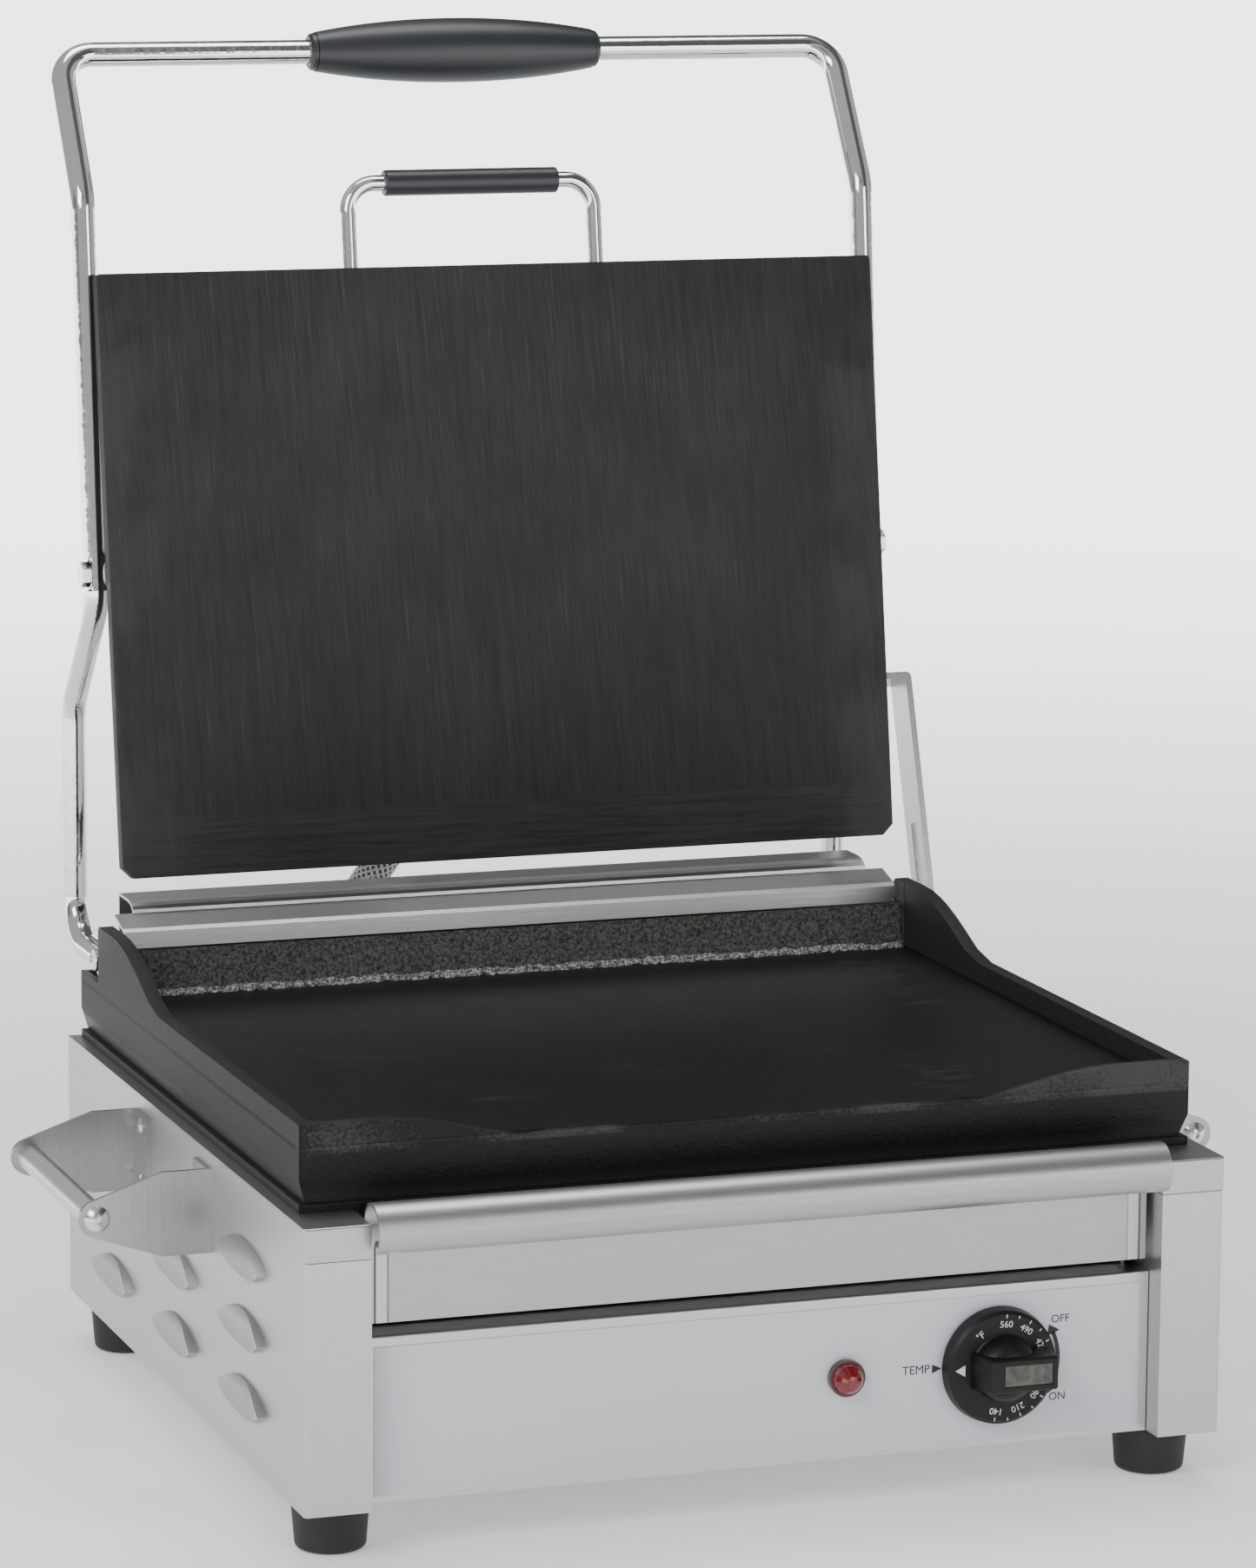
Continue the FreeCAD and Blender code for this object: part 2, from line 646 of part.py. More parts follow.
def lower_grill_plate():
    """A ribbed casting: cooking slab, low rim with a spout gap in front, sloping back wall and two rear ears."""
    taper_z = deck_top + draft_height
    outline = rim_profile() + [(grill_rear, deck_top), (-grill_front, deck_top)]
    wall = prism_x(outline, -grill_half, -grill_inner)
    walls = both_sides(wall)
    slab = box(-grill_inner, grill_inner, -grill_front + grill_wall, back_wall_front + 2.0, slab_under, cook_z)
    back = prism_x([(back_wall_front, slab_under), (back_wall_front, cook_z),
                    (back_wall_front + back_wall_lean, cook_z + back_wall_rise),
                    (back_wall_front + back_wall_lean + back_wall_thickness, cook_z + back_wall_rise),
                    (back_wall_front + back_wall_lean + back_wall_thickness, slab_under)],
                   -grill_inner, grill_inner)
    ledge_front = back_wall_front + back_wall_thickness
    ledge = box(-grill_inner, grill_inner, ledge_front, grill_rear, ledge_z - 8.0, ledge_z)
    rear_skirt = box(-grill_inner, grill_inner, grill_rear - grill_wall, grill_rear, deck_top, ledge_z)
    front_points = [Vector(-grill_half, 0, deck_top), Vector(-grill_half, 0, rim_z),
                    Vector(-spout_rise_end, 0, rim_z)]
    steps = 8
    for i in range(1, steps + 1):
        share = i / steps
        drop = (rim_z - cook_z + 1.0) * (1 - math.cos(share * math.pi / 2) ** 1.2)
        x = -spout_rise_end + (spout_rise_end - spout_half) * share
        front_points.append(Vector(x, 0, rim_z - drop))
    front_points.append(Vector(-spout_half + 12.0, 0, cook_z))
    left = [p + Y * -grill_front for p in front_points]
    right = [Vector(-p.x, p.y, p.z) for p in reversed(left)]
    front = prism(left + right, Y * grill_wall)
    casting = joined([slab, back, ledge, rear_skirt, front] + list(walls.Solids))
    low_z = deck_top + foot_flange
    for side in (-1, 1):
        wedge = prism([Vector(side * (grill_half + 1), -half_depth, taper_z),
                       Vector(side * grill_half, -half_depth, taper_z),
                       Vector(side * (grill_half - draft_in), -half_depth, low_z),
                       Vector(side * (grill_half + 1), -half_depth, low_z)], Y * casing_depth)
        casting = casting.cut(wedge)
        low, high = sorted((side * (arm_x - tube_radius - 2), side * (arm_x + tube_radius + 0.5)))
        casting = casting.cut(rod(arm_tail + clear_gap, Vector(low, hinge_y, hinge_z),
                                  Vector(high, hinge_y, hinge_z)))
    front_wedge = prism_x([(-grill_front - 1, taper_z), (-grill_front, taper_z),
                           (-grill_front + draft_in, low_z), (-grill_front - 1, low_z)],
                          -grill_half - 1, grill_half + 1)
    casting = casting.cut(front_wedge)
    for x, y in bearing_screw_places():
        casting = casting.cut(rod(bearing_screw_radius, Vector(x, y, ledge_z - 7.0), Vector(x, y, ledge_z + 1)))
    for x in guard_screws_x:
        casting = casting.cut(rod(screw_radius, Vector(x, grill_rear + 1, guard_screw_z),
                                  Vector(x, grill_rear - 6.0, guard_screw_z)))
    return casting


def run_pitch(half_x):
    return 2 * half_x / (2 * heater_runs - 1)


def serpentine(half_x, half_y, height):
    """A tubular heater folded to and fro, with both ends at the rear."""
    pitch = run_pitch(half_x)
    points = []
    for i in range(2 * heater_runs):
        x = -half_x + i * pitch
        ends = (half_y, -half_y) if i % 2 == 0 else (-half_y, half_y)
        points += [Vector(x, ends[0], height), Vector(x, ends[1], height)]
    bends = [pitch / 2 - 0.01] * (len(points) - 2)
    return bent_rod(points, bends, heater_rod)


def lower_heater():
    return serpentine(heater_half_x, heater_half_y, slab_under - heater_rod)


def lower_heater_straps():
    """Two flat bars screwed under the slab that hold the heater up against it."""
    top = slab_under - 2 * heater_rod
    half_x = heater_half_x + strap_width / 2
    half_y = strap_width / 2
    return group(box(-half_x, half_x, y - half_y, y + half_y, top - strap_thickness, top)
                 for y in (-strap_station, strap_station))


def reflector_pan():
    """A shallow aluminised pan hung below the deck that throws the heat up and shields the drawer."""
    half_x = heater_half_x + 11.0
    half_y = heater_half_y + 11.0
    low = deck_under - pan_depth
    pan = box(-half_x, half_x, -half_y, half_y, low, deck_under)
    pan = pan.cut(box(-half_x + sheet, half_x - sheet, -half_y + sheet, half_y - sheet, low + sheet, deck_top))
    flanges = box(-half_x - 10, half_x + 10, -half_y - 10, half_y + 10, deck_under - sheet, deck_under)
    flanges = flanges.cut(box(-half_x, half_x, -half_y, half_y, low, deck_top))
    return joined([pan, flanges])


# ---------------------------------------------------------------- controls
def control_knob():
    """Skirted dial with a raised bar to hold it by; it turns with the spindle."""
    front = face_y - label_thickness
    back = front - 0.8
    radius = knob_diameter / 2
    centre = Vector(knob_x, 0, control_z)
    skirt = Part.makeCone(radius, radius - 2.5, knob_skirt, centre + Y * back, Y * -1)
    hub_front = back - knob_skirt - knob_grip_height
    hub = Part.makeCone(radius - 7.5, radius - 10.5, 5.0, centre + Y * (back - knob_skirt), Y * -1)
    half_width_grip = knob_grip_width / 2
    bar = box(knob_x - knob_grip_left, knob_x + knob_grip_right, hub_front, back - knob_skirt,
              control_z - half_width_grip, control_z + half_width_grip)
    bar = bar.makeFillet(3.0, edges_along(bar, Y, lambda p: True))
    bar = bar.makeFillet(1.5, [e for e in bar.Edges if e.BoundBox.YMax < hub_front + 0.01])
    knob = joined([skirt, hub, bar])
    pocket = knob_pocket(hub_front)
    knob = knob.cut(pocket)
    return knob.cut(rod(spindle_radius, centre + Y * (back + 1), centre + Y * (back - 12)))


def knob_pocket(front):
    return box(knob_x - knob_insert_left, knob_x + knob_grip_right - 2.5, front - 1, front + 1.5,
               control_z - 4.5, control_z + 4.5)


def knob_insert():
    front = face_y - label_thickness - 0.8 - knob_skirt - knob_grip_height
    return box(knob_x - knob_insert_left + 0.2, knob_x + knob_grip_right - 2.7, front + 0.5, front + 1.5,
               control_z - 4.3, control_z + 4.3)


def knob_spindle():
    centre = Vector(knob_x, 0, control_z)
    tip = face_y - label_thickness - 0.8 - 12.0
    return rod(spindle_radius, centre + Y * tip, centre + Y * (face_y + 10.0))


def thermostat():
    """The regulator behind the panel; the knob's spindle turns in its bush."""
    centre = Vector(knob_x, 0, control_z)
    bore = spindle_radius + running_gap
    body = box(knob_x - 18, knob_x + 18, face_y + sheet, face_y + 30, control_z - 16, control_z + 16)
    body = body.cut(rod(bore, centre + Y * (face_y - 5), centre + Y * (face_y + 10.5)))
    terminals = [box(knob_x + x - 3, knob_x + x + 3, face_y + 30, face_y + 38, control_z - 10, control_z - 9)
                 for x in (-10.0, 10.0)]
    return joined([body] + terminals)


def thermostat_bulb():
    """Capillary tube from the regulator to the sensing bulb under the cooking slab."""
    route = [Vector(knob_x - 12, face_y + 30, control_z + 10),
             Vector(knob_x - 12, face_y + 44, control_z + 10),
             Vector(bay_half + 8, face_y + 44, control_z + 10),
             Vector(bay_half + 8, face_y + 44, deck_under - 14.0)]
    tube = bent_rod(route, [6.0, 8.0], 1.0)
    bulb = rod(2.2, Vector(bay_half + 8, face_y + 44, deck_under - 14.0), Vector(bay_half + 8, face_y + 44,
                                                                            deck_under - 4.0))
    return joined([tube, bulb])


def pilot_bezel():
    front = face_y - label_thickness
    centre = Vector(lamp_x, 0, control_z)
    ring = pipe(lamp_diameter / 2, lamp_barrel - 0.8, centre + Y * front, centre + Y * (front - 3.0))
    barrel = pipe(lamp_barrel, lamp_barrel - 0.8, centre + Y * front, centre + Y * (face_y + 26.0))
    return joined([ring, barrel])


def pilot_lens():
    front = face_y - label_thickness - 3.0
    centre = Vector(lamp_x, 0, control_z)
    radius = lamp_barrel - 0.9
    stem = rod(radius, centre + Y * front, centre + Y * (front + 6.0))
    collar = rod(lamp_diameter / 2 - 1.0, centre + Y * front, centre + Y * (front - 1.0))
    dome_reach = 5.0
    cap = lamp_diameter / 2 - 1.0
    sphere = (cap ** 2 + dome_reach ** 2) / (2 * dome_reach)
    dome = Part.makeSphere(sphere, centre + Y * (front - 1.0 - dome_reach + sphere))
    dome = dome.common(rod(cap, centre + Y * (front - 1.0), centre + Y * (front - 10.0)))
    return joined([stem, collar, dome])


def terminal_block():
    low = casing_bottom + 2 * sheet
    block = box(-150, -100, 100, 118, low, low + 20)
    for i in range(4):
        x = -143.5 + i * 12.5
        block = block.cut(rod(2.0, Vector(x, 109, low + 12), Vector(x, 109, low + 21)))
        block = block.cut(rod(1.8, Vector(x, 99, low + 8), Vector(x, 119, low + 8)))
    return block


# ---------------------------------------------------------------- glands and conduit
conduit_place = Vector(conduit_x, half_depth - sheet - sheet_gap, casing_bottom + conduit_height)
inlet_place = Vector(inlet_x, half_depth - sheet - sheet_gap, casing_bottom + inlet_height)


def gland(place, bore, length):
    """A neck through the rear sheet with a collar outside, a domed cap on it and a nut inside."""
    neck = rod(gland_thread, place - Y * 9.0, place + Y * length)
    collar = hexagon(2 * gland_thread + 4.0, 5.0, place, Y)
    cap = rod(gland_thread + 1.0, place + Y * 5.0, place + Y * length)
    nut = hexagon(2 * gland_thread + 4.0, 4.0, place - Y * sheet, Y * -1)
    whole = joined([neck, collar, cap, nut])
    return whole.cut(rod(bore, place - Y * 20, place + Y * (length + 1)))


def inlet_gland():
    return gland(inlet_place, inlet_bore, 14.0)


def conduit_gland():
    return gland(conduit_place, conduit_diameter / 2 + conduit_slack, conduit_gland_length)


def lid_conduit():
    """Armoured conduit: out of the rear gland, round behind the guard and up into the elbow on the cover."""
    behind = plate_back + elbow_behind
    points = [conduit_place - Y * 6.0, conduit_place + Y * conduit_loop,
              lid_point(0, behind, conduit_turn_along), lid_point(0, behind, pivot_along + elbow_grip)]
    edges = []
    start = points[0]
    free = conduit_place + Y * conduit_gland_length      # a bend starts outside the gland
    for corner, after, longest in zip(points[1:], points[2:], conduit_bends):
        into = (corner - start).normalize()
        out = (after - corner).normalize()
        half_turn = into.getAngle(out) / 2
        bend = min(longest, corner.distanceToPoint(free) / math.tan(half_turn))
        reach = bend * math.tan(half_turn)
        inward = (out - into).normalize()
        middle = corner + inward * (bend / math.cos(half_turn) - bend)
        edges.append(Part.LineSegment(start, corner - into * reach).toShape())
        edges.append(Part.Arc(corner - into * reach, middle, corner + out * reach).toShape())
        start = corner + out * reach
        free = start
    edges.append(Part.LineSegment(start, points[-1]).toShape())
    section = Part.Wire(Part.makeCircle(conduit_diameter / 2, points[0], Y))
    return Part.Wire(edges).makePipeShell([section], True, True)


def conduit_elbow():
    """Right-angle fitting on the cover's back whose lower leg takes the conduit."""
    behind = plate_back + elbow_behind
    top = pivot_along + elbow_leg
    points = [Vector(0, plate_back, top), Vector(0, behind, top), Vector(0, behind, pivot_along)]
    bore = conduit_diameter / 2 + conduit_slack
    elbow = bent_rod(points, [elbow_bend], elbow_radius, bore)
    start = Vector(0, plate_back, top)
    collar = hexagon(2 * elbow_radius + 3.0, 3.0, start, Y)
    thread = rod(gland_thread, start - Y * 7.0, start + Y * 1.0)
    nut = hexagon(2 * gland_thread + 4.0, 3.0, start - Y * cover_sheet, Y * -1)
    fitting = joined([elbow, collar, thread, nut])
    fitting = fitting.cut(rod(bore, start - Y * 10, start + Y * 3.5))
    return in_lid(fitting)


# ---------------------------------------------------------------- grease drawer
def drawer_box():
    """The tray that catches the grease; a flange at its top carries the front sheet."""
    front = face_y + sheet + drawer_setback
    outer = box(-box_half, box_half, front, front + drawer_depth, box_floor, box_floor + drawer_height)
    top = box_floor + drawer_height
    flange = box(-box_half, box_half, face_y + sheet, front + drawer_wall, top - drawer_wall, top)
    inner = box(-box_half + drawer_wall, box_half - drawer_wall, front + drawer_wall,
                front + drawer_depth - drawer_wall, box_floor + drawer_wall, box_floor + drawer_height + 1)
    return joined([outer.cut(inner), flange])


def drawer_front():
    """Front sheet whose top edge is rolled forward as the pull."""
    low = shelf_top + drawer_lift
    roll_y = face_y - roll_radius
    face = box(-drawer_half, drawer_half, face_y, face_y + sheet, low, roll_z)
    ring = pipe(roll_radius, roll_radius - sheet, Vector(-bay_half + sheet_gap, roll_y, roll_z),
                Vector(bay_half - sheet_gap, roll_y, roll_z))
    # the roll starts at the face, passes over the top and ends roll_open_angle below its front
    face_tie = box(-bay_half, bay_half, roll_y, face_y + sheet, roll_z - roll_radius - 5, roll_z)
    ring = ring.cut(face_tie)
    sweep = math.radians(roll_open_angle)
    far = 3 * roll_radius
    under = prism_x([(roll_y, roll_z), (roll_y - far * math.cos(sweep), roll_z - far * math.sin(sweep)),
                     (roll_y, roll_z - far)], -bay_half, bay_half)
    ring = ring.cut(under)
    tie = box(-drawer_half, drawer_half, face_y - sheet, face_y + sheet, roll_z - 1.0, roll_z + 0.5)
    return joined([face, ring, tie])


def drawer_guides():
    """Two folded runners on the shelf that keep the drawer square and stop it tipping."""
    inner = box_half + clear_gap
    top = box_floor + drawer_height + clear_gap
    wall = box(inner, inner + guide_wall, face_y + fold + 2.0, face_y + shelf_depth - 4.0, shelf_top,
               top + guide_wall)
    lip = box(inner - 5.0, inner + guide_wall, face_y + fold + 2.0, face_y + shelf_depth - 4.0, top,
              top + guide_wall)
    return both_sides(joined([wall, lip]))


# ---------------------------------------------------------------- rear guard
guard_screw_z = ledge_z - 4.0


def rear_guard():
    """Folded cover over the hinge: lip, ledge, raised top and a rear flange down to the casting."""
    lip_low = lip_top_z - guard_lip
    ledge_end = guard_front + guard_ledge
    ledge_top = lip_top_z + guard_ledge_rise
    top_z = ledge_top + guard_riser_rise
    fold_radius = 1.5
    front_path = [(guard_front, lip_low), (guard_front, lip_top_z - fold_radius),
                  (guard_front + fold_radius, lip_top_z), (ledge_end, ledge_top)]
    steps = 5
    riser_path = []
    for i in range(1, steps + 1):
        angle = math.pi / 2 * i / steps
        riser_path.append((ledge_end + guard_riser_run * (1 - math.cos(angle)),
                           ledge_top + guard_riser_rise * math.sin(angle)))
    riser_path += [(guard_rear - fold_radius, top_z), (guard_rear, top_z - fold_radius),
                   (guard_rear, guard_screw_z - 7.0)]
    guard = joined([strip_x(front_path, sheet, -guard_half, guard_half),
                    strip_x(front_path + riser_path, sheet, -guard_riser_half, guard_riser_half)])
    lip_corners = edges_along(guard, Y, lambda p: abs(p.x) > guard_half - 0.01 and p.z < lip_low + 0.01)
    guard = guard.makeFillet(3.0, lip_corners)
    for x in guard_screws_x:
        guard = guard.cut(rod(screw_radius, Vector(x, guard_rear - 5, guard_screw_z),
                              Vector(x, guard_rear + 5, guard_screw_z)))
    return guard


def guard_screws():
    return group(button_screw(3.6, 2.0, screw_radius, guard_rear - grill_rear + 5.0,
                              Vector(x, guard_rear, guard_screw_z), Y * -1, 2.0) for x in guard_screws_x)


# ---------------------------------------------------------------- hinge
def bearing_screw_places():
    for x in bearing_stations:
        for side in (-1, 1):
            for spread in (-bearing_screw_spread, bearing_screw_spread):
                yield side * x + spread, hinge_y


def hinge_bearing(x):
    """A foot with a screw each side, and a ring that holds the shaft."""
    low = Vector(x - bearing_width / 2, hinge_y, hinge_z)
    high = Vector(x + bearing_width / 2, hinge_y, hinge_z)
    foot = box(x - bearing_foot / 2, x + bearing_foot / 2, hinge_y - 8.0, hinge_y + 8.0,
               ledge_z, ledge_z + bearing_foot_thickness)
    tower = box(low.x, high.x, hinge_y - 6.0, hinge_y + 6.0, ledge_z, hinge_z)
    block = joined([foot, tower, rod(bearing_ring_radius, low, high)])
    return block.cut(rod(shaft_diameter / 2 + bearing_clearance, low - X, high + X))


def hinge_bearings():
    blocks = group(hinge_bearing(side * x) for x in bearing_stations for side in (-1, 1))
    for x, y in bearing_screw_places():
        blocks = blocks.cut(rod(bearing_screw_radius, Vector(x, y, ledge_z - 1), Vector(x, y, hinge_z - 10.0)))
    return blocks


def bearing_screws():
    screws = []
    for x, y in bearing_screw_places():
        seat = Vector(x, y, ledge_z + bearing_foot_thickness)
        screws.append(joined([rod(3.4, seat, seat + Z * 2.5),
                              rod(bearing_screw_radius, Vector(x, y, ledge_z - 6.5), seat)]))
    return group(screws)


def hinge_shaft():
    """Shaft across the back, its ends turned down where the lid's tubes take them."""
    reach = arm_x + tube_radius - 0.5
    shoulder = arm_x - tube_radius
    middle = rod(shaft_diameter / 2, Vector(-shoulder, hinge_y, hinge_z), Vector(shoulder, hinge_y, hinge_z))
    ends = rod(spigot_radius, Vector(-reach, hinge_y, hinge_z), Vector(reach, hinge_y, hinge_z))
    return joined([middle, ends])


def hinge_springs():
    """Torsion springs round the shaft that carry part of the lid's weight."""
    helix = Part.makeHelix(spring_pitch, spring_turns * spring_pitch, spring_mean_radius)
    section = Part.Wire(Part.makeCircle(spring_wire / 2, Vector(spring_mean_radius, 0, 0), Y))
    coil = Part.Wire(helix.Edges).makePipeShell([section], True, True)
    coil.Placement = Placement(Vector(spring_start, hinge_y, hinge_z), Rotation(Z, X))
    return both_sides(coil)


def spring_collars():
    """Rings pinned to the shaft that the springs push against."""
    start = spring_start + spring_turns * spring_pitch + spring_wire
    ring = pipe(bearing_ring_radius, shaft_diameter / 2, Vector(start, hinge_y, hinge_z),
                Vector(start + collar_width, hinge_y, hinge_z))
    return both_sides(ring)


# ---------------------------------------------------------------- lid frame
def frame_tube():
    """One bent tube: a foot on the hinge shaft each side, two cranked arms and the crossbar."""
    left = [Vector(-arm_x, hinge_y - arm_tail_length, hinge_z), Vector(-arm_x, arm_rear, hinge_z),
            Vector(-arm_x, arm_rear, arm_step_z), Vector(-arm_x, arm_crank.y, arm_crank.z),
            Vector(-arm_x, arm_knee.y, arm_knee.z), Vector(-arm_x, crossbar.y, crossbar.z)]
    right = [Vector(-p.x, p.y, p.z) for p in reversed(left)]
    bends = [foot_bend, crank_bend, crank_bend, crank_bend, top_bend]
    tube = bent_rod(left + right, bends + bends[::-1], tube_radius, tube_radius - tube_wall)
    tube = tube.cut(rod(spigot_radius, Vector(-arm_x - 10, hinge_y, hinge_z),
                        Vector(arm_x + 10, hinge_y, hinge_z)))
    tube = tube.cut(rod(pivot_bolt_radius + running_gap, Vector(-arm_x - 10, pivot_y, pivot_z),
                        Vector(arm_x + 10, pivot_y, pivot_z)))
    for side in (-1, 1):
        low, high = sorted((side * (arm_x + tube_radius - notch_depth), side * (arm_x + tube_radius + 1)))
        cut = box(low, high, -tube_diameter, tube_diameter, -notch_height / 2, notch_height / 2)
        cut.Placement = Placement(Vector(0, pivot_y, pivot_z), Rotation(X, -arm_lean))
        tube = tube.cut(cut)
    return tube


def frame_grip():
    """Turned barrel grip pushed on to the crossbar."""
    half = grip_length / 2
    end = grip_end_diameter / 2
    middle = grip_middle_diameter / 2
    low = Vector(-half, crossbar.y, crossbar.z)
    arc = Part.Arc(Vector(-half, end, 0), Vector(0, middle, 0), Vector(half, end, 0)).toShape()
    rest = Part.makePolygon([Vector(half, end, 0), Vector(half, 0, 0),
                             Vector(-half, 0, 0), Vector(-half, end, 0)])
    face = Part.Face(Part.Wire([arc] + rest.Edges))
    barrel = face.revolve(ORIGIN, X, 360)
    ends = [e for e in barrel.Edges if e.BoundBox.XLength < 0.01]
    barrel = Part.Solid(barrel) if barrel.ShapeType == "Shell" else barrel
    barrel = barrel.makeFillet(1.5, ends)
    barrel.translate(Vector(0, crossbar.y, crossbar.z))
    return barrel.cut(rod(tube_radius, low - X * 5, Vector(half + 5, crossbar.y, crossbar.z)))


# ---------------------------------------------------------------- upper plate, cover and handle
def upper_plate():
    """Ground cast plate with a thicker middle and a boss each side for the pivot bolts."""
    slab = box(-plate_half, plate_half, 0, plate_rim, 0, plate_length)
    slab = slab.makeChamfer(plate_chamfer, edges_along(slab, Y, lambda p: p.z < 0.01))
    high_corners = edges_along(slab, Y, lambda p: p.z > plate_length - 0.01)
    slab = slab.makeFillet(bend_radius, high_corners)
    inset = plate_pad_inset
    pad = box(-cover_width / 2 + inset, cover_width / 2 - inset, plate_rim, plate_rim + plate_pad,
              cover_inset + inset, plate_length - cover_inset - inset)
    bosses = []
    for side in (-1, 1):
        low, high = sorted((side * boss_inner, side * boss_outer))
        boss = box(low, high, plate_rim, pivot_behind, pivot_along - boss_radius, pivot_along + boss_radius)
        round_end = rod(boss_radius, Vector(low, pivot_behind, pivot_along),
                        Vector(high, pivot_behind, pivot_along))
        boss = joined([boss, round_end])
        bosses.append(boss.cut(rod(pivot_bolt_radius, Vector(low - 1, pivot_behind, pivot_along),
                                   Vector(high + 1, pivot_behind, pivot_along))))
    plate = joined([slab, pad] + bosses)
    for x, s in cover_stud_places():
        plate = plate.cut(rod(stud_radius, Vector(x, plate_rim + plate_pad - 6.0, s),
                              Vector(x, plate_rim + plate_pad + 1, s)))
    return in_lid(plate)


def upper_cover():
    """Folded stainless tray over the upper heater."""
    half = cover_width / 2 - 0.2
    low = cover_inset
    high = plate_length - cover_inset
    back = plate_back
    tray = box(-half, half, plate_rim, back, low, high)
    vertical = edges_along(tray, Y, lambda p: True)
    tray = tray.makeFillet(3.0, vertical)
    tray = tray.makeFillet(2.0, [e for e in tray.Edges if e.BoundBox.YMin > back - 0.01])
    tray = tray.cut(box(-half + cover_sheet, half - cover_sheet, plate_rim - 1, back - cover_sheet,
                        low + cover_sheet, high - cover_sheet))
    for x, s in cover_stud_places():
        tray = tray.cut(rod(stud_radius + 0.1, Vector(x, back - 5, s), Vector(x, back + 5, s)))
    for side in (-1, 1):
        tray = tray.cut(rod(small_rod / 2 + 0.1, Vector(side * small_half, small_behind, high - 5),
                            Vector(side * small_half, small_behind, high + 5)))
    neck = Vector(0, back, pivot_along + elbow_leg)
    return in_lid(tray.cut(rod(gland_thread + 0.1, neck - Y * 5, neck + Y * 5)))


def cover_stud_places():
    """Studs stand between the two outermost heater runs each side."""
    x = upper_heater_half_x - run_pitch(upper_heater_half_x) / 2
    for side in (-1, 1):
        for along in (-stud_spread, stud_spread):
            yield side * x, plate_length / 2 + along


def cover_studs():
    low = plate_rim + plate_pad - 5.8
    high = plate_back + 5.0
    places = cover_stud_places()
    return in_lid(group(rod(stud_radius, Vector(x, low, s), Vector(x, high, s)) for x, s in places))


def cover_nuts():
    """Domed nuts on the studs outside the cover."""
    nuts = []
    for x, s in cover_stud_places():
        base = Vector(x, plate_back, s)
        nut = hexagon(8.0, 4.0, base, Y)
        cap = Part.makeSphere(3.8, base + Y * 4.0)
        nuts.append(joined([nut, cap.common(rod(3.8, base + Y * 2.0, base + Y * 9.0))]).cut(
            rod(stud_radius, base - Y, base + Y * 5.0)))
    return in_lid(group(nuts))


def upper_heater():
    heater = serpentine(upper_heater_half_x, upper_heater_half_y, 0.0)
    heater.Placement = Placement(Vector(0, plate_rim + plate_pad + heater_rod, plate_length / 2),
                                 Rotation(X, 90))
    return in_lid(Part.makeCompound([heater]))


def upper_heater_straps():
    low = plate_rim + plate_pad + 2 * heater_rod
    half_x = upper_heater_half_x + strap_width / 2
    stations = (plate_length / 2 - stud_spread / 2, plate_length / 2 + stud_spread / 2)
    return in_lid(group(box(-half_x, half_x, low, low + strap_thickness, s - strap_width / 2,
                            s + strap_width / 2) for s in stations))


def upper_insulation():
    """Mineral-wool slab between the heater and the cover."""
    low = plate_rim + plate_pad + 2 * heater_rod + strap_thickness
    slab = box(-cover_width / 2 + 12, cover_width / 2 - 12, low + clear_gap, plate_back - cover_sheet - 8.5,
               cover_inset + 12.0, plate_length - cover_inset - 16)
    for x, s in cover_stud_places():
        slab = slab.cut(rod(stud_radius + 1.5, Vector(x, low - 1, s), Vector(x, low + 30, s)))
    return in_lid(slab)


def small_handle_rod():
    """Round bar bent to a U, its ends through the cover's front wall."""
    foot = plate_length - cover_inset - 9.0
    points = [Vector(-small_half, small_behind, foot), Vector(-small_half, small_behind, small_reach),
              Vector(small_half, small_behind, small_reach), Vector(small_half, small_behind, foot)]
    return in_lid(bent_rod(points, [small_bend, small_bend], small_rod / 2))


def small_handle_grip():
    radius = small_grip_diameter / 2
    half = small_grip_length / 2
    low = Vector(-half, small_behind, small_reach)
    high = Vector(half, small_behind, small_reach)
    sleeve = pipe(radius, small_rod / 2, low, high)
    outer_ends = [e for e in sleeve.Edges if e.BoundBox.XLength < 0.01 and e.BoundBox.YLength > small_rod + 1]
    return in_lid(sleeve.makeFillet(1.0, outer_ends))


def small_handle_nuts():
    """A nut on each side of the cover's front wall."""
    wall_out = plate_length - cover_inset
    nuts = []
    for side in (-1, 1):
        base = Vector(side * small_half, small_behind, 0)
        for seat, direction in ((wall_out, Z), (wall_out - cover_sheet, Z * -1)):
            nut = hexagon(12.0, 4.0, base + Z * seat, direction)
            nuts.append(nut.cut(rod(small_rod / 2, base + Z * (seat - 10), base + Z * (seat + 10))))
    return in_lid(group(nuts))


def pivot_bolts():
    """Hexagon bolts through the arms into the plate's bosses; the plate swings on them."""
    bolts = []
    for side in (-1, 1):
        outward = X * side
        seat = Vector(side * (arm_x + tube_radius - notch_depth), pivot_y, pivot_z)
        tip = Vector(side * (boss_inner + 0.5), pivot_y, pivot_z)
        head = hexagon(10.0, 4.0, seat + outward * 0.3, outward)
        bolts.append(joined([head, rod(pivot_bolt_radius, seat + outward * 0.3, tip)]))
    return group(bolts)


def pivot_washers():
    """Thrust washers between each boss and its arm."""
    rings = []
    for side in (-1, 1):
        near = Vector(side * boss_outer, pivot_y, pivot_z)
        far = Vector(side * (boss_outer + 1.1), pivot_y, pivot_z)
        rings.append(pipe(6.5, pivot_bolt_radius, near, far))
    return group(rings)


# ---------------------------------------------------------------- carrying handles
def handle_ends():
    return handle_middle - handle_span / 2, handle_middle + handle_span / 2


def handle_flange_holes():
    front, rear = handle_ends()
    return front + handle_screw_set, rear - handle_screw_set


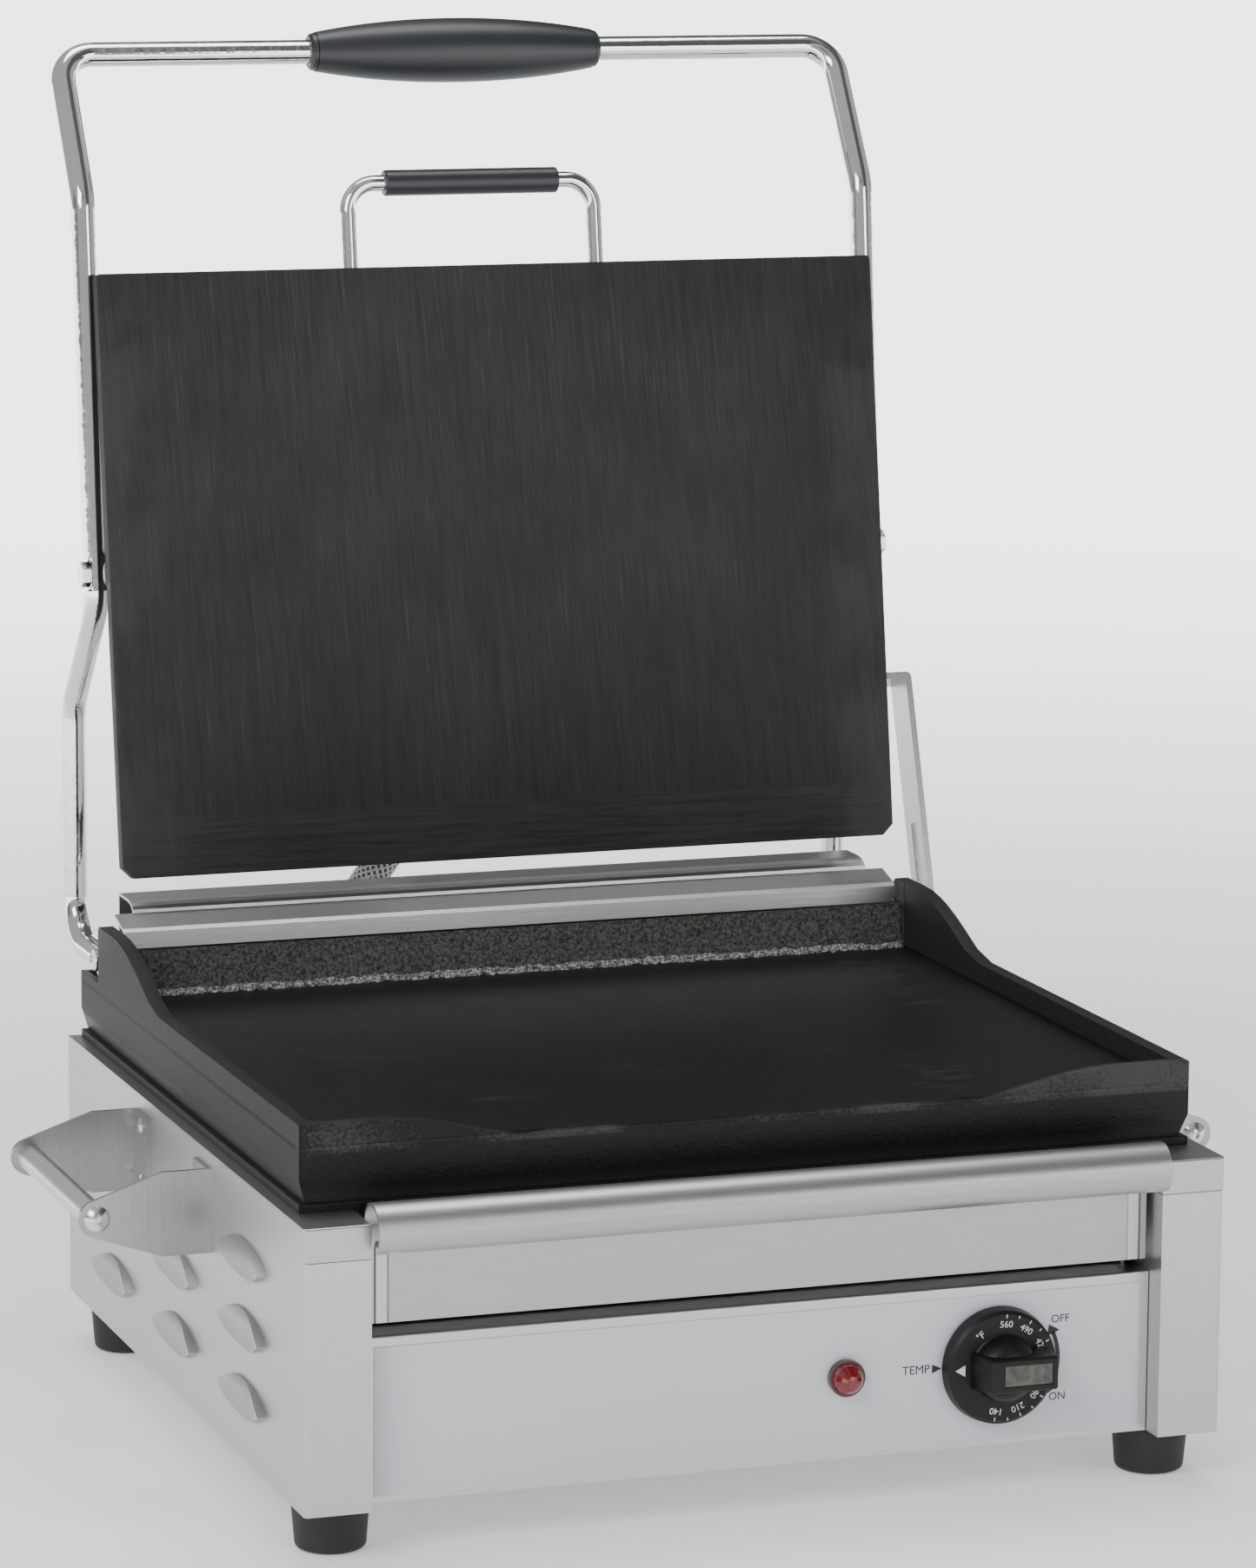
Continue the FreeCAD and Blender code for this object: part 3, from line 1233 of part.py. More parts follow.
def handle_screw_heights():
    return handle_height - handle_screw_spread, handle_height + handle_screw_spread


def handle_bracket(y_out, inward):
    """Folded bracket on the left panel: a flange on the casing and a tapering arm with a round end."""
    z_low = handle_height - handle_bracket_height / 2
    z_high = handle_height + handle_bracket_height / 2
    x0 = -half_width
    y_in = y_out + inward * handle_sheet
    y_low, y_high = sorted((y_out, y_in))
    reach = handle_reach
    run = reach - handle_flat
    rise = handle_bracket_height / 2
    # the taper runs tangent to the round end
    angle = math.atan2(rise, run) - math.asin(handle_end_radius / math.hypot(run, rise))
    touch_x = x0 - reach - handle_end_radius * math.sin(angle)
    touch_z = handle_end_radius * math.cos(angle)
    points = [Vector(x0, y_low, z_low), Vector(x0 - handle_flat, y_low, z_low),
              Vector(touch_x, y_low, handle_height - touch_z), Vector(touch_x, y_low, handle_height + touch_z),
              Vector(x0 - handle_flat, y_low, z_high), Vector(x0, y_low, z_high)]
    arm = prism(points, Y * (y_high - y_low))
    tip = Vector(-half_width - reach, 0, handle_height)
    arm = arm.fuse(rod(handle_end_radius, tip + Y * y_low, tip + Y * y_high))
    flange_low, flange_high = sorted((y_out, y_out + inward * handle_flange))
    flange = box(x0 - handle_sheet, x0, flange_low, flange_high, z_low, z_high)
    bracket = joined([arm, flange])
    bracket = bracket.cut(rod(handle_bolt_radius, tip + Y * (y_low - 1), tip + Y * (y_high + 1)))
    hole_y = y_out + inward * handle_screw_set
    for z in handle_screw_heights():
        bracket = bracket.cut(rod(screw_radius, Vector(x0 - 5, hole_y, z), Vector(x0 + 1, hole_y, z)))
    return bracket


def handle_brackets():
    front, rear = handle_ends()
    return group([handle_bracket(front, 1), handle_bracket(rear, -1)])


def handle_bar():
    front, rear = handle_ends()
    tip = Vector(-half_width - handle_reach, 0, handle_height)
    return pipe(handle_bar_diameter / 2, handle_bolt_radius, tip + Y * (front + handle_sheet),
                tip + Y * (rear - handle_sheet))


def handle_screws():
    """Button screws into the bar's ends and pan screws through the flanges, for one handle."""
    front, rear = handle_ends()
    tip = Vector(-half_width - handle_reach, 0, handle_height)
    screws = [button_screw(5.5, 3.2, handle_bolt_radius, 16.0, tip + Y * front, Y, 3.0),
              button_screw(5.5, 3.2, handle_bolt_radius, 16.0, tip + Y * rear, Y * -1, 3.0)]
    for y in handle_flange_holes():
        for z in handle_screw_heights():
            screws.append(button_screw(3.6, 2.0, screw_radius, handle_sheet + sheet + 4.0,
                                       Vector(-half_width - handle_sheet, y, z), X, 2.0))
    return group(screws)


# ---------------------------------------------------------------- lid stop bar
def stop_point(along):
    """A point on the bar's middle line, above its reference point."""
    turn = math.radians(stop_lean)
    return Vector(0, stop_middle_y + along * math.sin(turn), stop_middle_z + along * math.cos(turn))


def lid_stop_bar():
    """Slotted flat bar at the right rear; its bent top hooks behind the right arm when the lid is open."""
    inner = stop_offset + half_width
    half = stop_width / 2
    bar = box(inner, inner + stop_thickness, -half, half, -stop_below, stop_above)
    bar = bar.makeFillet(half - 0.5, edges_along(bar, X, lambda p: p.z < 0))
    tab = box(arm_x - tube_radius - 3.0, inner + stop_thickness, -half, half + 6.0, stop_above - stop_thickness,
              stop_above)
    bar = joined([bar, tab])
    bar = bar.makeFillet(2.5, edges_along(bar, Y, lambda p: p.x > inner + stop_thickness - 0.01
                                          and p.z > stop_above - 0.01))
    slot_half = stop_slot / 2
    slot = box(inner - 1, inner + 5, -slot_half, slot_half, -stop_slot_below, stop_slot_above)
    bar = bar.cut(slot)
    bar.Placement = Placement(Vector(0, stop_middle_y, stop_middle_z), Rotation(X, -stop_lean))
    notch_z = stop_point(stop_above).z
    notch = box(arm_x - tube_radius - 10, arm_x + tube_radius + 1.5, arm_rear - 60, arm_rear + tube_radius
                + 0.4, notch_z - 30, notch_z + 30)
    return bar.cut(notch)


def stop_spacers():
    rings = []
    for along in stop_screws:
        centre = stop_point(along)
        rings.append(pipe(7.0, stop_screw_radius, Vector(half_width, centre.y, centre.z),
                          Vector(half_width + stop_offset, centre.y, centre.z)))
    return group(rings)


def stop_bolts():
    bolts = []
    for along in stop_screws:
        centre = stop_point(along)
        seat = Vector(half_width + stop_offset + stop_thickness, centre.y, centre.z)
        head = hexagon(10.0, 4.0, seat, X)
        bolts.append(joined([head, rod(stop_screw_radius, Vector(half_width - 8.0, centre.y, centre.z), seat)]))
    return group(bolts)


# ---------------------------------------------------------------- build and write
side_panel_left_plain = side_panel_left()

nodes = {
    "side_panel_left": side_panel_left_plain,
    "side_panel_right": side_panel_right(),
    "deck": deck(),
    "rear_panel": rear_panel(),
    "rear_screws": rear_screws(),
    "control_panel": control_panel(),
    "control_label": control_label(),
    "bottom_plate": bottom_plate(),
    "floor_screws": floor_screws(),
    "rubber_feet": rubber_feet(),
    "foot_screws": foot_screws(),
    "lower_grill_plate": lower_grill_plate(),
    "lower_heater": lower_heater(),
    "lower_heater_straps": lower_heater_straps(),
    "reflector_pan": reflector_pan(),
    "thermostat": thermostat(),
    "thermostat_bulb": thermostat_bulb(),
    "pilot_bezel": pilot_bezel(),
    "pilot_lens": pilot_lens(),
    "terminal_block": terminal_block(),
    "inlet_gland": inlet_gland(),
    "conduit_gland": conduit_gland(),
    "lid_conduit": lid_conduit(),
    "drawer_guides": drawer_guides(),
    "rear_guard": rear_guard(),
    "guard_screws": guard_screws(),
    "hinge_bearings": hinge_bearings(),
    "bearing_screws": bearing_screws(),
    "hinge_springs": hinge_springs(),
    "handle_brackets_left": handle_brackets(),
    "handle_brackets_right": mirrored(handle_brackets()),
    "handle_bar_left": handle_bar(),
    "handle_bar_right": mirrored(handle_bar()),
    "handle_screws": both_sides(handle_screws()),
    "lid_stop_bar": lid_stop_bar(),
    "stop_spacers": stop_spacers(),
    "stop_bolts": stop_bolts(),
    "drawer_box": drawer_box(),
    "drawer_front": drawer_front(),
    "control_knob": control_knob(),
    "knob_insert": knob_insert(),
    "knob_spindle": knob_spindle(),
    "frame_tube": frame_tube(),
    "frame_grip": frame_grip(),
    "hinge_shaft": hinge_shaft(),
    "spring_collars": spring_collars(),
    "upper_plate": upper_plate(),
    "upper_cover": upper_cover(),
    "conduit_elbow": conduit_elbow(),
    "cover_studs": cover_studs(),
    "cover_nuts": cover_nuts(),
    "upper_heater": upper_heater(),
    "upper_heater_straps": upper_heater_straps(),
    "upper_insulation": upper_insulation(),
    "small_handle_rod": small_handle_rod(),
    "small_handle_grip": small_handle_grip(),
    "small_handle_nuts": small_handle_nuts(),
    "pivot_bolts": pivot_bolts(),
    "pivot_washers": pivot_washers(),
}

os.makedirs("parts", exist_ok=True)
for name, shape in nodes.items():
    solids = [s for s in shape.Solids]
    for solid in solids:
        if not solid.isValid() or solid.Volume <= 0:
            print("check", name, solid.isValid(), solid.Volume)
    placed = Part.makeCompound(solids) if len(solids) > 1 else solids[0]
    placed = placed.copy()
    placed.translate(centre_shift)
    placed.exportStep("parts/" + name + ".step")
print(len(nodes), "nodes, moved by", centre_shift)
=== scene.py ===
import bmesh
import bpy
import math
from mathutils import Matrix, Vector, noise as rough_noise


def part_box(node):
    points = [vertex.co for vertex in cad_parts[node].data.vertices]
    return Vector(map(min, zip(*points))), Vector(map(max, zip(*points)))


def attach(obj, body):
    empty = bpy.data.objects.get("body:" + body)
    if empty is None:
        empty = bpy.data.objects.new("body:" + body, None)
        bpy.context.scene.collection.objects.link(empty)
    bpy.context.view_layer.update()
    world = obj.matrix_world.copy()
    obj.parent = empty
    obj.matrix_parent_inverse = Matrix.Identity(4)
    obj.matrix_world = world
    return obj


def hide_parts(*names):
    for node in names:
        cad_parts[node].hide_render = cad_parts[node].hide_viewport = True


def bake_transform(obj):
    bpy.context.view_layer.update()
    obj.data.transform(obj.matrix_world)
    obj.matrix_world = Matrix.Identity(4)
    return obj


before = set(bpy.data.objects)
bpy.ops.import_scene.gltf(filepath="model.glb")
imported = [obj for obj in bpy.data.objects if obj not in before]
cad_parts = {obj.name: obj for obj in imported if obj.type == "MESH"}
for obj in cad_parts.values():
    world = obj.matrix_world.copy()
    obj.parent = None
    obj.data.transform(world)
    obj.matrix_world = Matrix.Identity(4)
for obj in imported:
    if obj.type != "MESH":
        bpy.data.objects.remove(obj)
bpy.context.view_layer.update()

view_turn = math.radians(-19.6)
view_height = math.radians(10.05)
view_roll = math.radians(0.41)
view_distance = 2.6086
casing_low, casing_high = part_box("side_panel_left")
casing_middle_y = (casing_low.y + casing_high.y) / 2
look_at = Vector((0.0013, casing_middle_y, 0.2762))

toward_camera = Vector((math.sin(view_turn) * math.cos(view_height),
                        -math.cos(view_turn) * math.cos(view_height), math.sin(view_height)))
across = Vector((0, 0, 1)).cross(toward_camera).normalized()
upward = toward_camera.cross(across)
across_rolled = across * math.cos(view_roll) + upward * math.sin(view_roll)
upward_rolled = upward * math.cos(view_roll) - across * math.sin(view_roll)
camera = bpy.data.objects.new("camera", bpy.data.cameras.new("camera"))
camera.data.lens = 138.97
camera.data.sensor_width = 36
camera.data.clip_end = 20
turn = Matrix((across_rolled, upward_rolled, toward_camera)).transposed().to_4x4()
camera.matrix_world = Matrix.Translation(look_at + toward_camera * view_distance) @ turn
bpy.context.scene.collection.objects.link(camera)
bpy.context.scene.camera = camera


class Link:
    """An output socket of a node tree: arithmetic adds Math nodes, node() any other node."""

    def __init__(self, tree, socket):
        self.tree = tree
        self.socket = socket

    def node(self, kind, settings=None, inputs=None, output=0):
        made = self.tree.nodes.new(kind)
        for key, value in (settings or {}).items():
            if key == "stops":
                for _ in range(len(value) - 2):
                    made.color_ramp.elements.new(0.5)
                for element, (place, colour) in zip(made.color_ramp.elements, value):
                    element.position = place
                    element.color = colour
            else:
                setattr(made, key, value)
        for key, value in (inputs or {}).items():
            if isinstance(value, Link):
                self.tree.links.new(value.socket, made.inputs[key])
            else:
                made.inputs[key].default_value = value
        return Link(self.tree, made.outputs[output])

    def math(self, operation, *values):
        return self.node("ShaderNodeMath", {"operation": operation}, dict(enumerate(values)))

    def __add__(self, other):
        return self.math("ADD", self, other)

    __radd__ = __add__

    def __mul__(self, other):
        return self.math("MULTIPLY", self, other)

    __rmul__ = __mul__

    def __sub__(self, other):
        return self.math("SUBTRACT", self, other)

    def __rsub__(self, other):
        return self.math("SUBTRACT", other, self)

    def __truediv__(self, other):
        return self.math("DIVIDE", self, other)

    def __pow__(self, other):
        return self.math("POWER", self, other)

    def part(self, axis):
        """X, Y or Z of a vector."""
        return self.node("ShaderNodeSeparateXYZ", {}, {"Vector": self}, output="XYZ".index(axis))

    def step(self, start, end):
        """0 below start and 1 above end, smooth between."""
        return self.node("ShaderNodeMapRange", {"interpolation_type": "SMOOTHSTEP"},
                         {"Value": self, "From Min": start, "From Max": end})

    def band(self, low, high, soft):
        """1 between low and high, fading over soft."""
        return self.step(low - soft, low) * (1 - self.step(high, high + soft))

    def noise(self, scale, detail=3.0, stretch=(1, 1, 1), roughness=0.5):
        """Noise at this position, scale in features per metre, squeezed along an axis by stretch."""
        place = self.node("ShaderNodeMapping", {}, {"Vector": self, "Scale": stretch})
        return place.node("ShaderNodeTexNoise", {},
                          {"Vector": place, "Scale": scale, "Detail": detail, "Roughness": roughness})

    def blend(self, low, high):
        """A colour from low to high by this value."""
        return self.node("ShaderNodeMix", {"data_type": "RGBA"},
                         {0: self, 6: low, 7: high}, output=2)


def grey(value, tint=(1, 1, 1)):
    return tuple(value * channel for channel in tint) + (1,)


def new_finish(name, **constants):
    """A material with one surface shader, whose fixed values are set on the shader itself."""
    material = bpy.data.materials.new(name)
    material.use_nodes = True
    tree = material.node_tree
    shader = tree.nodes["Principled BSDF"]
    for key, value in constants.items():
        shader.inputs[key.replace("_", " ")].default_value = value
    place = tree.nodes.new("ShaderNodeTexCoord")
    return material, Link(tree, place.outputs["Object"])


def feed(material, height=None, depth=0.0001, **links):
    """Joins links to the shader's sockets, and a height in metres times depth to its normal."""
    tree = material.node_tree
    shader = tree.nodes["Principled BSDF"]
    for key, link in links.items():
        tree.links.new(link.socket, shader.inputs[key.replace("_", " ")])
    if height is not None:
        bump = height.node("ShaderNodeBump", {}, {"Height": height, "Distance": depth, "Strength": 1.0})
        tree.links.new(bump.socket, shader.inputs["Normal"])
    return material


def dress(material, *nodes):
    """Gives CAD nodes their finish."""
    for node in nodes:
        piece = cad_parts[node]
        piece.data.materials.clear()
        piece.data.materials.append(material)
        for polygon in piece.data.polygons:
            polygon.material_index = 0


def lamp(name, place, aim, size_x, size_y, power):
    light = bpy.data.lights.new(name, "AREA")
    light.shape = "RECTANGLE"
    light.size = size_x
    light.size_y = size_y
    light.energy = power
    made = bpy.data.objects.new(name, light)
    made.location = place
    made.rotation_euler = (Vector(aim) - Vector(place)).to_track_quat("-Z", "Y").to_euler()
    bpy.context.scene.collection.objects.link(made)


lamp("softbox_left", (-1.7, -1.5, 1.7), (0, 0, 0.25), 1.3, 1.3, 34)
lamp("softbox_front", (1.2, -2.6, 1.0), (0, 0, 0.15), 1.0, 0.8, 11)
lamp("softbox_top", (0.1, 0.3, 2.2), (0, 0, 0.1), 1.4, 0.9, 22)

world = bpy.data.worlds.new("studio")
world.use_nodes = True
bpy.context.scene.world = world
sky_tree = world.node_tree
sky_coords = sky_tree.nodes.new("ShaderNodeTexCoord")
sky = Link(sky_tree, sky_coords.outputs["Generated"])
ahead = sky.part("Y")
sideways = sky.part("X")
height_of_sky = sky.part("Z")
dark_right = sideways.band(0.30, 0.70, 0.10) * height_of_sky.band(-0.1, 0.80, 0.15) * 0.85
dark_left = (1 - sideways.step(-0.98, -0.88)) * height_of_sky.band(-0.1, 0.35, 0.1) * 0.6
dark_front = sideways.band(-0.22, 0.02, 0.06) * (1 - ahead.step(-0.9, -0.6))
dark_front = dark_front * height_of_sky.step(0.30, 0.55)
sky_colour = (dark_right + dark_left + dark_front * 0.7).blend(grey(0.92), grey(0.10))
sky_tree.links.new(sky_colour.socket, sky_tree.nodes["Background"].inputs["Color"])
sky_tree.nodes["Background"].inputs["Strength"].default_value = 0.55

bench_bm = bmesh.new()
bmesh.ops.create_grid(bench_bm, x_segments=1, y_segments=1, size=25)
bench_mesh = bpy.data.meshes.new("bench")
bench_bm.to_mesh(bench_mesh)
bench_bm.free()
bench = bpy.data.objects.new("bench", bench_mesh)
bench.location.z = -0.0005
bpy.context.scene.collection.objects.link(bench)
# The bench glows: its emission is painted light, faint around the press and at full strength further out.
glowing_bench, bench_place = new_finish("glowing_bench", Roughness=0.75, Emission_Strength=3.2)
bench_x = bench_place.part("X")
bench_y = bench_place.part("Y")
distance_out = (bench_x * bench_x + bench_y * bench_y) ** 0.5
feed(glowing_bench, Base_Color=bench_place.noise(3.0).blend(grey(0.90), grey(0.92)),
     Emission_Color=distance_out.step(0.4, 3.2).blend(grey(0.12), grey(1.0)))
bench_mesh.materials.append(glowing_bench)

# Feet: four moulded rubber buffers, each held by a screw and nut through the casing's floor.
# Those screws, and all the other fixings of the press, are bright zinc-plated steel.
rubber, place = new_finish("foot_rubber", Roughness=0.55)
speckle = place.noise(1800, 4)
feed(rubber, height=speckle, depth=0.00006,
     Base_Color=place.noise(90).blend(grey(0.008), grey(0.02, (1, 1, 1.05))),
     Roughness=0.5 + speckle * 0.2)
dress(rubber, "rubber_feet")

zinc, place = new_finish("bright_zinc", Metallic=1.0)
feed(zinc, height=place.noise(1200, 3), depth=0.00003,
     Base_Color=place.noise(300).blend(grey(0.62, (1, 0.99, 0.96)), grey(0.8)),
     Roughness=0.16 + place.noise(500) * 0.16)
dress(zinc, "foot_screws", "floor_screws", "rear_screws", "guard_screws", "bearing_screws", "handle_screws",
      "stop_bolts", "stop_spacers", "cover_nuts", "cover_studs", "pivot_bolts", "pivot_washers",
      "small_handle_nuts", "hinge_shaft", "spring_collars", "knob_spindle")


# Casing: side panels with their front posts, deck, rear panel and floor, folded from brushed stainless
# sheet. The louvres are pressed out of the side panels, and their faces carry painted shade, a darker grey
# that grows towards each louvre's lower edge.
def brushed(name, along, value=0.66, soft=0.34, tint=(1, 1, 1.01)):
    """Brushed stainless with its grain along X, Y or Z."""
    material, spot = new_finish(name, Metallic=1.0)
    stretch = [1.0, 1.0, 1.0]
    stretch["XYZ".index(along)] = 0.035
    grain = spot.noise(2600, 3, stretch, 0.7)
    strokes = spot.noise(520, 4, stretch, 0.6)
    cloud = spot.noise(9, 2)
    shade = grain * 0.35 + strokes * 0.4 + cloud * 0.25
    return feed(material, height=grain + strokes, depth=0.000045,
                Base_Color=shade.blend(grey(value * 0.86, tint), grey(value * 1.13, tint)),
                Roughness=soft - 0.06 + shade * 0.16)


side_steel = brushed("side_steel", "Z", 0.50, 0.33)
pressed_steel, place = new_finish("pressed_steel", Metallic=1.0)
grain = place.noise(2600, 3, (1, 1, 0.035), 0.7)
strokes = place.noise(520, 4, (1, 1, 0.035), 0.6)
side_tint = (1.02, 1, 0.98)
louvre_shade = 0.0
louvre_places = [(-0.1321, 2), (-0.1321, 1), (-0.1321, 0), (-0.0281, 1), (-0.0281, 0), (0.0759, 0)]
louvre_low = 0.027
louvre_pitch = 0.0295
louvre_half_length = 0.031
louvre_half_height = 0.0083
for louvre_y, row in louvre_places:
    louvre_z = casing_low.z + louvre_low + louvre_pitch * row
    along_lens = (place.part("Y") - louvre_y) / louvre_half_length
    up_lens = (place.part("Z") - louvre_z) / louvre_half_height
    inside = 1 - (along_lens * along_lens + up_lens * up_lens).step(0.55, 1.05)
    # Painted shade over each louvre, heavier towards its lower edge.
    louvre_shade = inside * (0.42 - up_lens * 0.22) + louvre_shade
shade = grain * 0.35 + strokes * 0.4 + place.noise(9, 2) * 0.25
feed(pressed_steel, height=grain + strokes, depth=0.000045,
     Base_Color=louvre_shade.blend(shade.blend(grey(0.47, side_tint), grey(0.66, side_tint)), grey(0.20)),
     Roughness=0.30 + shade * 0.14 + louvre_shade * 0.08)
dress(pressed_steel, "side_panel_left", "side_panel_right")
dress(side_steel, "deck", "bottom_plate")
dress(brushed("rear_steel", "X", 0.62, 0.38), "rear_panel", "reflector_pan", "drawer_guides", "drawer_box")

# Control panel: a folded sheet under the drawer, faced with a printed film whose black marks tell the
# cook which way the knob turns. The marks are printed on the film, so they stand only a hair proud of it.
front_steel = brushed("front_steel", "X", 0.60, 0.30)
dress(front_steel, "control_panel")
film, place = new_finish("printed_film", Roughness=0.36, Coat_Weight=0.1, Coat_Roughness=0.2)
feed(film, height=place.noise(2500, 2), depth=0.00001,
     Base_Color=place.noise(5, 1).blend(grey(0.62, (0.94, 0.98, 1.05)), grey(0.68, (0.94, 0.98, 1.05))))
dress(film, "control_label")


def keep(bm, name, material, body, *replaced, smooth=35):
    """Ends a bmesh as a piece of the press: closed seams, outward faces, soft shading, finish and body."""
    bmesh.ops.remove_doubles(bm, verts=bm.verts, dist=1e-6)
    bmesh.ops.recalc_face_normals(bm, faces=bm.faces)
    if bm.calc_volume(signed=True) < 0:
        bmesh.ops.reverse_faces(bm, faces=bm.faces)
    mesh = bpy.data.meshes.new(name)
    bm.to_mesh(mesh)
    bm.free()
    for polygon in mesh.polygons:
        polygon.use_smooth = smooth > 0
    if smooth > 0:
        mesh.set_sharp_from_angle(angle=math.radians(smooth))
    mesh.materials.append(material)
    piece = bpy.data.objects.new(name, mesh)
    bpy.context.scene.collection.objects.link(piece)
    if body:
        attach(piece, body)
    if replaced:
        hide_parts(*replaced)
    return piece


def print_text(bm, words, size, centre, turn=0.0):
    """Sets words flat on an upright face looking forward, centred on a point and turned about it."""
    curve = bpy.data.curves.new("words", "FONT")
    curve.body = words
    curve.size = size
    curve.align_x = "CENTER"
    curve.align_y = "CENTER"
    curve.extrude = 0.00004
    curve.resolution_u = 3
    holder = bpy.data.objects.new("words", curve)
    bpy.context.scene.collection.objects.link(holder)
    bpy.context.view_layer.update()
    mesh = bpy.data.meshes.new_from_object(holder)
    bpy.data.objects.remove(holder)
    upright = Matrix.Rotation(math.radians(90), 4, "X")
    mesh.transform(Matrix.Translation(centre) @ Matrix.Rotation(-turn, 4, "Y") @ upright)
    bm.from_mesh(mesh)
    bpy.data.meshes.remove(mesh)


def print_shape(bm, corners, depth=0.00008):
    """A flat printed shape from corners that go round it, given as points on an upright face."""
    face = bm.faces.new([bm.verts.new(corner) for corner in corners])
    raised = bmesh.ops.extrude_face_region(bm, geom=[face])
    moved = [v for v in raised["geom"] if isinstance(v, bmesh.types.BMVert)]
    bmesh.ops.translate(bm, verts=moved, vec=(0, -depth, 0))


label_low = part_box("control_label")[0]
knob_low, knob_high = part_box("control_knob")
knob_x = (knob_low.x + knob_high.x) / 2
knob_z = (knob_low.z + knob_high.z) / 2
print_y = label_low.y - 0.00003
ink, place = new_finish("black_ink", Roughness=0.5)
feed(ink, Base_Color=place.noise(900).blend(grey(0.008), grey(0.016, (0.9, 0.95, 1.2))))

print_bm = bmesh.new()
print_text(print_bm, "TEMP", 0.0052, Vector((knob_x - 0.0360, print_y, knob_z)))
print_text(print_bm, "OFF", 0.0048, Vector((knob_x + 0.0286, print_y, knob_z + 0.0168)))
print_text(print_bm, "ON", 0.0048, Vector((knob_x + 0.0278, print_y, knob_z - 0.0166)))
pointer = [(-0.0289, 0.0019), (-0.0247, 0.0), (-0.0289, -0.0019)]
print_shape(print_bm, [Vector((knob_x + x, print_y, knob_z + z)) for x, z in pointer])


def round_knob(reach, angle, y):
    """A point this far from the knob's middle, at an angle up from its right."""
    return Vector((knob_x + reach * math.cos(angle), y, knob_z + reach * math.sin(angle)))


arrow_radius = 0.0278
arrow_half = math.radians(24)
arrow_steps = 14
line_half = 0.0009
head_half = 0.0031
outer_arc = []
inner_arc = []
for i in range(arrow_steps + 1):
    angle = -arrow_half + 2 * arrow_half * i / arrow_steps
    outer_arc.append(round_knob(arrow_radius + line_half, angle, print_y))
    inner_arc.append(round_knob(arrow_radius - line_half, angle, print_y))
print_shape(print_bm, outer_arc + inner_arc[::-1])
for way in (-1, 1):
    tip_angle = way * (arrow_half + math.radians(8))
    base_angle = way * (arrow_half - math.radians(1))
    head = [(arrow_radius, tip_angle), (arrow_radius - head_half, base_angle),
            (arrow_radius + head_half, base_angle)]
    print_shape(print_bm, [round_knob(reach, angle, print_y) for reach, angle in head])
keep(print_bm, "film_print", ink, "base", smooth=0)

# Pilot lamp: a moulded red lens with flat facets, in a dark red bezel ring. It is snapped into a hole
# in the control panel, with the neon behind the lens.
lens_red, place = new_finish("lens_red", Roughness=0.10, Coat_Weight=0.6)
glow = place.noise(420, 2)
feed(lens_red, Base_Color=glow.blend((0.09, 0.002, 0.003, 1), (0.24, 0.004, 0.006, 1)))
bezel_red, place = new_finish("bezel_red", Roughness=0.22, Coat_Weight=0.4)
feed(bezel_red, Base_Color=place.noise(200).blend((0.035, 0.002, 0.003, 1), (0.07, 0.004, 0.005, 1)))
dress(bezel_red, "pilot_bezel")


def turned(profile, centre, axis="Y", sides=48):
    """A closed body of revolution from (reach, along) pairs whose first and last lie on the axis."""
    bm = bmesh.new()
    if axis == "Y":
        points = [Vector((reach, along, 0)) for reach, along in profile]
        spin_axis = (0, 1, 0)
    else:
        points = [Vector((along, reach, 0)) for reach, along in profile]
        spin_axis = (1, 0, 0)
    verts = [bm.verts.new(point) for point in points]
    edges = [bm.edges.new(pair) for pair in zip(verts, verts[1:])]
    bmesh.ops.spin(bm, geom=verts + edges, cent=(0, 0, 0), axis=spin_axis, dvec=(0, 0, 0),
                   angle=math.radians(360), steps=sides, use_merge=True)
    bmesh.ops.remove_doubles(bm, verts=bm.verts, dist=1e-6)
    bmesh.ops.translate(bm, verts=bm.verts, vec=centre)
    return bm


lens_low, lens_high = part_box("pilot_lens")
lens_centre = Vector(((lens_low.x + lens_high.x) / 2, lens_low.y, (lens_low.z + lens_high.z) / 2))
lens_radius = (lens_high.x - lens_low.x) / 2
lens_length = 0.0118
lens_profile = [(0, 0), (lens_radius * 0.34, 0.0003), (lens_radius * 0.66, 0.0016),
                (lens_radius * 0.9, 0.0036), (lens_radius, 0.0058), (lens_radius * 0.86, lens_length),
                (0, lens_length)]
keep(turned(lens_profile, lens_centre, sides=14), "lamp_lens", lens_red, "base", "pilot_lens", smooth=0)

# Control knob: one black moulding, a skirt with the printed dial, a domed hub and a bar to hold,
# with a small metal plate sunk in the bar's end. It presses on to the regulator's spindle.
knob_black, place = new_finish("knob_black", Specular_IOR_Level=0.3)
grain = place.noise(2400, 3)
feed(knob_black, height=grain, depth=0.00004,
     Base_Color=place.noise(70).blend(grey(0.004), grey(0.009)), Roughness=0.34 + grain * 0.16)
dial_y = knob_high.y - 0.0070
skirt_radius = (knob_high.x - knob_low.x) / 2
knob_centre = Vector((knob_x, 0, knob_z))
small_round = 0.0006
hub_radius = 0.0141
hub_rise = 0.0105
knob_profile = [(0, knob_high.y), (skirt_radius - small_round, knob_high.y),
                (skirt_radius, knob_high.y - small_round), (skirt_radius - 0.0008, dial_y + 0.0012),
                (skirt_radius - 0.0022, dial_y), (0.0148, dial_y), (hub_radius, dial_y - small_round)]
dome_steps = 6
for i in range(1, dome_steps + 1):
    angle = math.radians(80) * i / dome_steps
    dome_y = dial_y - small_round - hub_rise * math.sin(angle)
    knob_profile.append((hub_radius * math.cos(angle) ** 0.6, dome_y))
knob_profile.append((0, dial_y - 0.0112))
knob_bm = turned(knob_profile, knob_centre, sides=72)
keep(knob_bm, "knob_skirt", knob_black, "knob", "control_knob")

